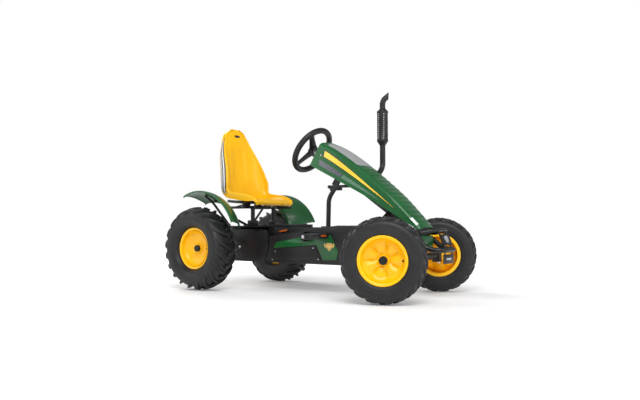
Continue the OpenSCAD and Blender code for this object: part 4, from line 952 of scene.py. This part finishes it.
def makeExhaust():
    e = {k: v * mm for k, v in exhaust.items()}
    x, y = e["x"], e["y"]
    slope = math.radians(4.5)
    lower = tubed("pipe", [(x, e["footY"] + 0.0015, e["footZ"] + 0.002), (x, e["footY"] + 0.012, e["footZ"] + 0.006),
        (x, y, e["bendZ"]), (x, y, e["low"] + 0.004)], e["pipeR"], bend=0.028)
    flange = revolved("flange", [(0, -0.0022), (0.022, -0.0022), (0.023, -0.001), (0.023, 0.0015), (0.021, 0.0028),
        (0.016, 0.0034), (0.0155, 0.006), (0, 0.007)],
        Matrix.Translation((x, e["footY"], e["footZ"])) @ Matrix.Rotation(-math.pi / 2 + slope, 4, "X"),
        steps=48, closed=False)
    r, p, o = e["mufflerR"], e["pipeR"], e["outletR"]
    can = [(0, e["low"]), (p, e["low"]), (p + 0.0015, e["low"] + 0.002), (p + 0.003, e["low"] + 0.005),
        (r - 0.003, e["coneLow"] - 0.003), (r, e["coneLow"] + 0.002), (r, e["coneLow"] + 0.006),
        (r - 0.0015, e["coneLow"] + 0.009), (r - 0.0015, e["coneTop"] - 0.009), (r, e["coneTop"] - 0.006),
        (r, e["coneTop"] - 0.002), (r - 0.003, e["coneTop"] + 0.003), (o + 0.002, e["top"] - 0.005),
        (o + 0.0005, e["top"]), (0, e["top"])]
    muffler = revolved("can", can, Matrix.Translation((x, y, 0)), steps=72, closed=False)
    turn = Vector((x, y, e["turnZ"]))
    level = Vector((math.cos(outlet["yaw"]), math.sin(outlet["yaw"]), 0))
    way = level * math.cos(outlet["rise"]) + Vector((0, 0, math.sin(outlet["rise"])))
    elbow = tubed("elbow", [(x, y, e["top"] - 0.004), turn, turn + way * 2.4 * e["reach"]], o, bend=0.03, sides=40)
    mouth = bmesh.new()
    mouth.from_mesh(elbow.data)
    bmesh.ops.bisect_plane(mouth, geom=mouth.verts[:] + mouth.edges[:] + mouth.faces[:],
        plane_co=turn + level * e["reach"], plane_no=level, clear_outer=True)
    low = [f for f in mouth.faces if f.normal.z < -0.99 and len(f.verts) < 5 and f.calc_center_median().z < e["top"]]
    bmesh.ops.delete(mouth, geom=low, context="FACES")
    mouth.to_mesh(elbow.data)
    mouth.free()
    thickened(elbow, 0.003, offset=-1)
    piece = joined("exhaustStack", [lower, flange, muffler, cleanMesh(elbow)])
    dress(piece, "blackPlastic", "frame", ["exhaust"], angle=40)
    slot = boxed("slot", (r - 0.0028, -0.0028, -0.0024), (r - 0.0008, 0.0028, 0.0024))
    rows = exhaust["slotRows"]
    step = (e["coneTop"] - e["coneLow"] - 0.034) / (rows - 1)
    place = Matrix.Translation((x, y, e["coneLow"] + 0.017)) @ Matrix.Rotation(math.radians(14), 4, "Z")
    slots = grown("exhaustSlots", "ring", place, piece=bevelled(slot, 0.0007, 1), rows=rows, step=(0, 0, step),
        count=exhaust["slotColumns"], finish=finish["slotGrey"])
    dress(slots, "slotGrey", "frame")


makeExhaust()
print("fenders and exhaust made")


# Steering

steering = dict(ringR=126, tubeR=16.4, spokes=(75, 180, 285), rimWide=34, hubWide=60, hubR=32, turned=35,
    voxel=2.0)


def steeringFrame(along=0.0):  # local z down the shaft, turned with the wheel
    down = -wheelAxis
    across = Vector((0, 1, 0))
    base = Matrix((across.cross(down), across, down)).transposed().to_4x4()
    turn = Matrix.Rotation(math.radians(-steering["turned"]), 4, "Z")
    return Matrix.Translation(wheelPlace + down * along) @ base @ turn


# The spoke is a tapered bar that dishes from the ring down to the hub
def spokeShape(clock):
    s = steering
    rows = []
    a = math.radians(180 + clock)
    outward, across = Vector((math.cos(a), math.sin(a), 0)), Vector((-math.sin(a), math.cos(a), 0))
    for k in range(15):
        t = k / 14
        r = 12 + (s["ringR"] - 12) * t
        wide = (s["rimWide"] + (s["hubWide"] - s["rimWide"]) * (1 - t) ** 1.6 + 12 * t ** 8) / 2
        thick = (11 - 2 * t) / 2
        drop = 6 * (1 - t) ** 1.5
        rows.append([(outward * r + across * wide * math.cos(b) + Vector((0, 0, drop + thick * math.sin(b)))) * mm
            for b in (2 * math.pi * (j + 0.5) / 12 for j in range(12))])
    bar = gridPiece("spoke", rows, ringColumns=True)
    ends = bmesh.new()
    ends.from_mesh(bar.data)
    bmesh.ops.contextual_create(ends, geom=[e for e in ends.edges if e.is_boundary])
    bmesh.ops.holes_fill(ends, edges=[e for e in ends.edges if e.is_boundary], sides=0)
    ends.to_mesh(bar.data)
    ends.free()
    return cleanMesh(bar)


def makeSteeringWheel():
    s = steering
    ring = revolved("ring", [((s["ringR"] + s["tubeR"] * math.cos(a)) * mm, s["tubeR"] * math.sin(a) * mm)
        for a in (2 * math.pi * k / 28 for k in range(28))], Matrix.Identity(4), steps=120)
    hubR = s["hubR"] * mm
    hub = revolved("hub", [(0, -0.004), (hubR - 0.005, -0.004), (hubR, 0.001), (hubR, 0.010), (hubR - 0.004, 0.0135),
        (0, 0.0135)], Matrix.Identity(4), steps=64, closed=False)
    wheel = joined("steeringRing", [ring, hub] + [spokeShape(c) for c in s["spokes"]])
    melt = wheel.modifiers.new("melt", "REMESH")
    melt.mode, melt.voxel_size = "VOXEL", s["voxel"] * mm
    soften = wheel.modifiers.new("soften", "SMOOTH")
    soften.factor, soften.iterations = 0.5, 7
    settle(wheel)
    wheel.data.transform(steeringFrame())
    dress(wheel, "gripRubber", "steering", ["steering_wheel"], angle=60)
    capR = 0.027
    cap = revolved("steeringCap", [(0, -0.0136), (capR * 0.5, -0.0132), (capR * 0.82, -0.0118), (capR * 0.9, -0.0085),
        (capR, -0.0078), (capR, -0.002), (0, -0.002)], steeringFrame(), steps=64, closed=False)
    dress(cap, "blackPlastic", "steering", ["steering_hub"], angle=30)


makeSteeringWheel()
print("steering wheel made")


# Tubes of the frame

tubes = {
    "bumperTop": dict(points=((650, -100, 322), (659, -100, 322), (722, -60, 335), (722, 60, 335), (659, 100, 322),
        (650, 100, 322)), radius=9, bend=30),
    "bumperLow": dict(points=((604, -88, 296), (618, -88, 296), (700, -82, 240), (760, -62, 240), (760, 62, 240),
        (700, 82, 240), (618, 88, 296), (604, 88, 296)), radius=13, bend=30),
    "bumperStrut_right": dict(points=((722, -38, 335), (760, -38, 240)), radius=4, bend=1),
    "bumperStrut_left": dict(points=((722, 38, 335), (760, 38, 240)), radius=4, bend=1),
}


def scaled(points):
    return [Vector(p) * mm for p in points]


def makeTubes():
    for name, spec in tubes.items():
        tube = tubed(name, scaled(spec["points"]), spec["radius"] * mm, bend=spec["bend"] * mm)
        dress(tube, "blackPaint", "frame", ["bumper"])
    postX, topX = wheelPlace.x + 0.1085, wheelPlace.x + 0.148
    post = tubed("columnTube", [(postX, 0, 0.348), (postX + 0.004, 0, 0.505), (topX, 0, 0.552)], 0.0125, bend=0.035)
    foot = bevelled(boxed("foot", (postX - 0.030, -0.025, 0.347), (postX + 0.030, 0.025, 0.353)), 0.0012)
    head = bevelled(boxed("head", (topX - 0.018, -0.018, 0.546), (topX + 0.042, 0.018, 0.560)), 0.0015)
    dress(joined("columnPost", [post, foot, head]), "blackPaint", "frame", ["column_post"])


def makeSeatTubes():
    railR, railZ, railY = 0.008, 0.462, 0.091
    parts = []
    for side in (right, left):
        y = side * railY
        rail = tubed("rail", [(seatX - 0.180, y, railZ), (seatX + 0.135, y, railZ)], railR)
        post = tubed("post", [(seatX, y, 0.356), (seatX, y, railZ - 0.005)], 0.012)
        base = bevelled(boxed("base", (seatX - 0.025, y - 0.020, 0.355), (seatX + 0.025, y + 0.020, 0.387)), 0.004)
        parts += [rail, post, base]
    dress(joined("seatRails", parts), "blackPaint", "frame", ["seat_posts"])
    parts = []
    barZ = 0.489
    for side in (right, left):
        y = side * railY
        bar = tubed("bar", [(seatX - 0.196, y, barZ + 0.012), (seatX - 0.05, y, barZ), (seatX + 0.060, y, barZ)],
            0.009, bend=0.05)
        parts.append(bar)
        for x in (seatX - 0.05, seatX + 0.04):
            clamp = boxed("clamp", (x - 0.020, y - 0.014, railZ - 0.0075), (x + 0.020, y + 0.014, barZ + 0.002))
            parts.append(bevelled(clamp, 0.003))
    dress(joined("seatCarrier", parts), "blackPaint", "seat", ["seat_bars"])


def makeFenderBrackets():
    parts = []
    for side in (right, left):
        for t in (0.2, 0.8):
            inner = fenderAt(side, t, 0.08, fender["lip"] + 8)
            outer = fenderAt(side, t, 0.45, fender["wall"] + 7.6)
            footX = seatX - 0.045 if t < 0.5 else rearAxle.x - 0.020
            foot = Vector((footX, side * 0.103, 0.355))
            parts.append(revolved("foot", [(0, 0), (0.011, 0), (0.011, 0.010), (0.009, 0.012), (0, 0.012)],
                Matrix.Translation(foot), steps=32, closed=False))
            parts.append(tubed("arm", [foot + Vector((0, 0, 0.008)), inner, outer], 0.007, bend=0.02))
    dress(joined("fenderArms", parts), "blackPaint", "frame", ["fender_brackets"])


makeTubes()
makeSeatTubes()
makeFenderBrackets()
print("tubes made")


# Rounded copies of the frame's plates and covers

plates = {
    "main_beam": ("blackPaint", 0.0035, "frame", "frame_paint"),
    "rear_carrier": ("blackPaint", 0.0012, "frame", "frame_paint"),
    "rear_deck": ("coverPlastic", 0.003, "frame", "frame_paint"),
    "side_cover_right": ("coverPlastic", 0.0035, "frame", "black_plastic"),
    "side_cover_left": ("coverPlastic", 0.0035, "frame", "black_plastic"),
    "hub_cover_right": ("coverPlastic", 0.006, "frame", "black_plastic"),
    "hub_cover_left": ("coverPlastic", 0.006, "frame", "black_plastic"),
    "cover_inlays": ("greenPlastic", 0.0016, "frame", "green_plastic"),
    "step_panels": ("blackPlastic", 0.0012, "frame", "black_plastic"),
    "nose_cover": ("greenPlastic", 0.003, "frame", "green_plastic"),
    "column_clamp": ("blackPaint", 0.002, "frame", "frame_paint"),
    "crank_arms": ("blackPaint", 0.0022, "crank", "crank_steel"),
    "axle_beam": ("blackPaint", 0.0012, "front_axle", "frame_paint"),
    "pitman_arm": ("zinc", 0.0006, "steering", "steel"),
    "knuckle_right": ("blackPaint", 0.0008, "right_knuckle", "frame_paint"),
    "knuckle_left": ("blackPaint", 0.0008, "left_knuckle", "frame_paint"),
}
for node, (finishName, width, body, slotName) in plates.items():
    dress(softened(node, width), finishName, body, [node])

plain = {
    "blackPaint": ("front_subframe", "steering_tube", "bottom_bracket", "brake_hub"),
    "blackPlastic": ("height_knob", "seat_lever"),
    "zinc": ("axle_bearings", "swing_bolt", "steering_shaft", "kingpins", "track_rod", "rear_axle", "drive_sprocket",
        "crank_axle", "chainring"),
}
for finishName, names in plain.items():
    for name in names:
        shape = frame["nodes"][name]
        shape.data.materials.clear()
        shape.data.materials.append(finish[finishName])
print("plates made")


# Pedals

pedal = dict(long=64, high=26, wide=90, inner=125, ribs=7, ribHigh=1.6)


def makePedal(side):
    spin = Vector(joints[f"{sideName[side]}_pedal_spin"]["pos_m"])
    long, high, wide = (pedal[k] * mm / 2 for k in ("long", "high", "wide"))
    middle = Vector((spin.x, side * (pedal["inner"] * mm + wide), spin.z))
    place = Matrix.Translation(middle)
    body = boxed("body", (-long + 0.001, -wide, -high + 0.0016), (long - 0.001, wide, high - 0.0016))
    bevelled(body, 0.004, 3)
    ribs = []
    step = (2 * wide - 0.020) / (pedal["ribs"] - 1)
    for level in (-1, 1):
        z = level * (high - 0.0008)
        rib = boxed("rib", (-long + 0.006, -0.0022, z - 0.0008), (long - 0.006, 0.0022, z + 0.0008))
        rib = bevelled(rib, 0.0006, 1)
        rib.data.transform(Matrix.Translation((0, -wide + 0.010, 0)))
        ribs.append(grown("ribs", "ring", piece=rib, rows=pedal["ribs"], step=(0, step, 0), count=1,
            finish=finish["gripRubber"]))
    block = joined(f"pedalBlock_{sideName[side]}", [body] + ribs)
    block.data.transform(place)
    name = f"{sideName[side]}_pedal"
    dress(block, "blackPlastic", name, [f"pedal_{sideName[side]}"])
    lenses = []
    for end in (-1, 1):
        x = end * (long - 0.0006)
        lens = boxed("lens", (min(x, x - end * 0.003), -wide * 0.55, -high * 0.38),
            (max(x, x - end * 0.003), wide * 0.55, high * 0.38))
        lenses.append(bevelled(lens, 0.0008, 2))
    lens = joined(f"pedalLens_{sideName[side]}", lenses)
    lens.data.transform(place)
    dress(lens, "orangeLens", name)


for side in (right, left):
    makePedal(side)


# Chain

chain = dict(y=0.040, pitch=0.0127, ringR=0.03455, sprocketR=0.02653)


# Points round the two toothed wheels, as a closed path
def chainPath():
    a, b = Vector((rearAxle.x, rearAxle.z)), Vector((crankAxle.x, crankAxle.z))
    along = (b - a).normalized()
    slope = math.atan2(along.y, along.x)
    tilt = math.asin((chain["ringR"] - chain["sprocketR"]) / (b - a).length)
    points = []
    for middle, r, start, sweep in ((b, chain["ringR"], -90 - math.degrees(tilt), 180 + 2 * math.degrees(tilt)),
            (a, chain["sprocketR"], 90 + math.degrees(tilt), 180 - 2 * math.degrees(tilt))):
        for k in range(25):
            turn = slope + math.radians(start + sweep * k / 24)
            points.append(Vector((middle.x + r * math.cos(turn), chain["y"], middle.y + r * math.sin(turn))))
    return points


def makeChain():
    points = chainPath()
    length = sum((points[i] - points[i - 1]).length for i in range(len(points)))
    curve = bpy.data.curves.new("chainLine", "CURVE")
    curve.dimensions = "3D"
    line = curve.splines.new("POLY")
    line.points.add(len(points) - 1)
    for spot, p in zip(line.points, points):
        spot.co = (*p, 1)
    line.use_cyclic_u = True
    path = bpy.data.objects.new("chainLine", curve)
    bpy.context.scene.collection.objects.link(path)
    pitch = chain["pitch"]
    parts = []
    for x, half in ((-0.0030, 0.0072), (0.0030, 0.0072)):
        outline = [(x, 0.0036 * math.sin(t), half * math.cos(t)) for t in (math.pi * k / 5 for k in range(10))]
        parts.append(slabbed("plate", outline, (0.0011 if x > 0 else -0.0011, 0, 0)))
    roller = [(0, -0.0046), (0.0034, -0.0046), (0.0034, 0.0046), (0, 0.0046)]
    parts.append(revolved("roller", roller, Matrix.Translation((0, 0, pitch / 2)) @ Matrix.Rotation(math.pi / 2, 4, "Y"),
        steps=8, closed=False))
    link = joined("link", parts)
    links = grown("chainLinks", "path", piece=link, path=path, count=round(length / pitch),
        finish=finish["chainSteel"])
    dress(links, "chainSteel", "frame", ["chain"])


makeChain()
print("pedals and chain made")


# Screws, badges, plates and reflectors

coverY = 0.095
screwSpots = ((-816, 212), (-837, 167), (-551, 235), (-518, 177))


def screwShape(name, r, high, direction):  # a pan head with a cross recess, pointing out along direction
    head = revolved(name, [(0, 0), (r, 0), (r, high * 0.35), (r * 0.86, high * 0.8), (r * 0.6, high), (0, high)],
        Matrix.Identity(4), steps=20, closed=False)
    cross = []
    for turn in (0, math.pi / 2):
        bar = boxed("bar", (-r * 0.55, -r * 0.11, high * 0.9), (r * 0.55, r * 0.11, high * 1.06))
        bar.data.transform(Matrix.Rotation(turn, 4, "Z"))
        cross.append(bar)
    head = joined(name, [head] + cross)
    head.data.transform(Matrix.Rotation(-math.pi / 2 * direction, 4, "X"))
    return head


def makeScrews():
    parts = []
    for side in (right, left):
        spots = [(frontX + x * mm, side * (coverY + 0.003), z * mm) for x, z in screwSpots]
        parts.append(grown("panelScrews", "spots", spots=spots, piece=screwShape("screw", 0.0042, 0.0026, side),
            finish=finish["zinc"]))
        hoodSpot = Vector((frontX - 0.501, side * 0.0948, 0.731))
        parts.append(grown("hoodScrews", "spots", spots=[hoodSpot], piece=screwShape("screw", 0.0052, 0.0028, side),
            finish=finish["zinc"]))
    dress(joined("trimScrewHeads", parts), "zinc", "frame", ["trim_screws"])


# A flat outline in x and z laid on the side plane at y
def sidePatch(name, side, y, outline, thick, finishName, edge=0.0006):
    points = [(x * mm, side * y, z * mm) for x, z in outline]
    patch = slabbed(name, points, (0, side * thick, 0))
    dress(bevelled(patch, edge, 1), finishName, "frame")


def shieldOutline(x, z, wide, high):  # a crest: flat arms, a notched top and a pointed foot
    half = [(0, 0.42), (0.22, 0.5), (0.62, 0.34), (0.94, 0.40), (1.0, 0.05), (0.80, -0.12), (0.42, -0.22),
        (0.16, -0.5), (0, -0.56)]
    full = [(x + wide / 2 * a, z + high * b) for a, b in half]
    return full + [(x - wide / 2 * a, z + high * b) for a, b in reversed(half[1:-1])]


def makeBadges():
    for side in (right, left):
        end = sideName[side]
        top = coverY + 0.004
        sidePatch(f"coverBadge_{end}", side, top, shieldOutline(125, 246, 66, 40), 0.0012, "goldFoil")
        sidePatch(f"coverBadgeInk_{end}", side, top + 0.0012, shieldOutline(125, 246, 52, 29), 0.0004, "goldInk")
        sidePatch(f"coverBadgeFace_{end}", side, top + 0.0016, shieldOutline(125, 246, 45, 24), 0.0004, "goldFoil")
        sill = [(-330, 150), (-330, 158), (300, 158), (262, 150)]
        sidePatch(f"sillStrip_{end}", side, coverY, sill, 0.0015, "blackPaint")
        strip = [(-246, 318), (-246, 327), (-190, 335), (-190, 326)]
        lens = slabbed(f"coverReflector_{end}", [(x * mm, side * 0.0595, z * mm) for x, z in strip],
            (0, side * 0.006, 0))
        dress(bevelled(lens, 0.001, 1), "orangeLens", "frame")
        bolt = revolved(f"hubCoverBolt_{end}", [(0, 0), (0.010, 0), (0.010, 0.0015), (0.0065, 0.0018), (0.0065, 0.007),
            (0.005, 0.0085), (0, 0.0085)], Matrix.Translation((-0.520, side * 0.092, 0.232))
            @ Matrix.Rotation(-math.pi / 2 * side, 4, "X"), steps=6, closed=False)
        dress(bolt, "zinc", "frame", angle=20)


def makePlates():
    lean = math.atan2(38, 95)
    place = Matrix.Translation((0.741, 0, 0.2875)) @ Matrix.Rotation(-lean, 4, "Y")
    board = bevelled(boxed("emblemBoard", (0.004, -0.047, -0.028), (0.008, 0.047, 0.028)), 0.0012)
    rim = slabbed("emblemCrest", [(0.008, y, z) for y, z in shieldPoints(0.040, 0.036)], (0.0010, 0, 0))
    for obj, finishName, replaced in ((board, "blackPlastic", ["emblem_plate"]), (rim, "decalGrey", [])):
        obj.data.transform(place)
        dress(obj, finishName, "frame", replaced)
    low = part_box("number_plate")[0]
    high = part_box("number_plate")[1]
    plateTop = high.z - 0.008
    board = bevelled(boxed("board", (low.x, low.y, low.z), (high.x, high.y, plateTop)), 0.001)
    tabs = []
    for side in (right, left):
        tab = boxed("tab", (low.x, side * 0.038 - 0.006, plateTop - 0.002), (high.x, side * 0.038 + 0.006, high.z))
        tabs.append(bevelled(tab, 0.0008))
    dress(joined("numberBoard", [board] + tabs), "blackPlastic", "frame", ["number_plate"])
    middle = (low.z + plateTop) / 2
    face = boxed("numberFace", (high.x, low.y + 0.030, middle - 0.005),
        (high.x + 0.0006, high.y - 0.030, middle + 0.005))
    dress(bevelled(face, 0.0002, 1), "decalGrey", "frame")


def shieldPoints(wide, high):
    half = [(0, 0.5), (0.7, 0.5), (1.0, 0.3), (0.92, -0.1), (0.5, -0.42), (0, -0.5)]
    full = [(wide / 2 * a, high * b) for a, b in half]
    return full + [(-wide / 2 * a, high * b) for a, b in reversed(half[1:-1])]


makeScrews()
makeBadges()
makePlates()
print("trim made")


# Floor, light and camera

def makeFloor():
    corners = [(x, y, 0) for x, y in ((-14, -14), (14, -14), (14, 14), (-14, 14))]
    floor = newPiece("floorSheet", corners, [(0, 1, 2, 3)])
    material = bpy.data.materials.new("paleFloor")
    material.use_nodes = True
    shader = material.node_tree.nodes["Principled BSDF"]
    shader.inputs["Base Color"].default_value = (0.90, 0.90, 0.905, 1)
    shader.inputs["Roughness"].default_value = 0.55
    shader.inputs["Emission Color"].default_value = (1, 1, 1, 1)
    tree = material.node_tree
    # The floor glows, brighter with distance from the middle: painted light that whitens the far floor and lights the
    # kart from below
    distance = addNode(tree, "ShaderNodeVectorMath", operation="LENGTH")
    tree.links.new(addNode(tree, "ShaderNodeTexCoord").outputs["Object"], distance.inputs[0])
    glow = addNode(tree, "ShaderNodeMapRange")
    for label, value in (("From Min", 0.9), ("From Max", 3.4), ("To Min", 0.12), ("To Max", 0.75)):
        glow.inputs[label].default_value = value
    tree.links.new(distance.outputs["Value"], glow.inputs["Value"])
    tree.links.new(glow.outputs[0], shader.inputs["Emission Strength"])
    floor.data.materials.append(material)


lamps = {
    "keyLamp": dict(place=(2.6, -3.2, 4.2), size=3.4, power=250),
    "fillLamp": dict(place=(-3.6, -3.4, 2.6), size=3.6, power=60),
    "frontLamp": dict(place=(4.6, 0.6, 1.8), size=2.6, power=50),
    "backLamp": dict(place=(-4.6, 1.6, 4.0), size=3.2, power=150),
}


def makeLight():
    world = bpy.data.worlds.new("studio")
    bpy.context.scene.world = world
    world.use_nodes = True
    world.node_tree.nodes["Background"].inputs["Color"].default_value = (1, 1, 1, 1)
    seen = addNode(world.node_tree, "ShaderNodeLightPath").outputs["Is Camera Ray"]
    strength = mathNode(world.node_tree, "MAXIMUM", seen, 0.34)
    world.node_tree.links.new(strength, world.node_tree.nodes["Background"].inputs["Strength"])
    bpy.context.scene.view_settings.view_transform = "Standard"
    for name, lamp in lamps.items():
        light = bpy.data.lights.new(name, "AREA")
        light.size, light.energy = lamp["size"], lamp["power"]
        obj = bpy.data.objects.new(name, light)
        bpy.context.scene.collection.objects.link(obj)
        obj.location = lamp["place"]
        obj.rotation_mode = "QUATERNION"
        obj.rotation_quaternion = (Vector((0, 0, 0.4)) - obj.location).to_track_quat("-Z", "Y")


camera = dict(place=(2.1557, -2.9544, 0.3646), look=(-0.5905, 0.8063, 0.0361), lens=37.46)


def makeCamera():
    data = bpy.data.cameras.new("photoView")
    data.lens, data.sensor_width = camera["lens"], 36
    obj = bpy.data.objects.new("photoView", data)
    bpy.context.scene.collection.objects.link(obj)
    obj.location = camera["place"]
    obj.rotation_mode = "QUATERNION"
    obj.rotation_quaternion = Vector(camera["look"]).to_track_quat("-Z", "Y")
    bpy.context.scene.camera = obj


makeFloor()
makeLight()
makeCamera()
print("stage made")
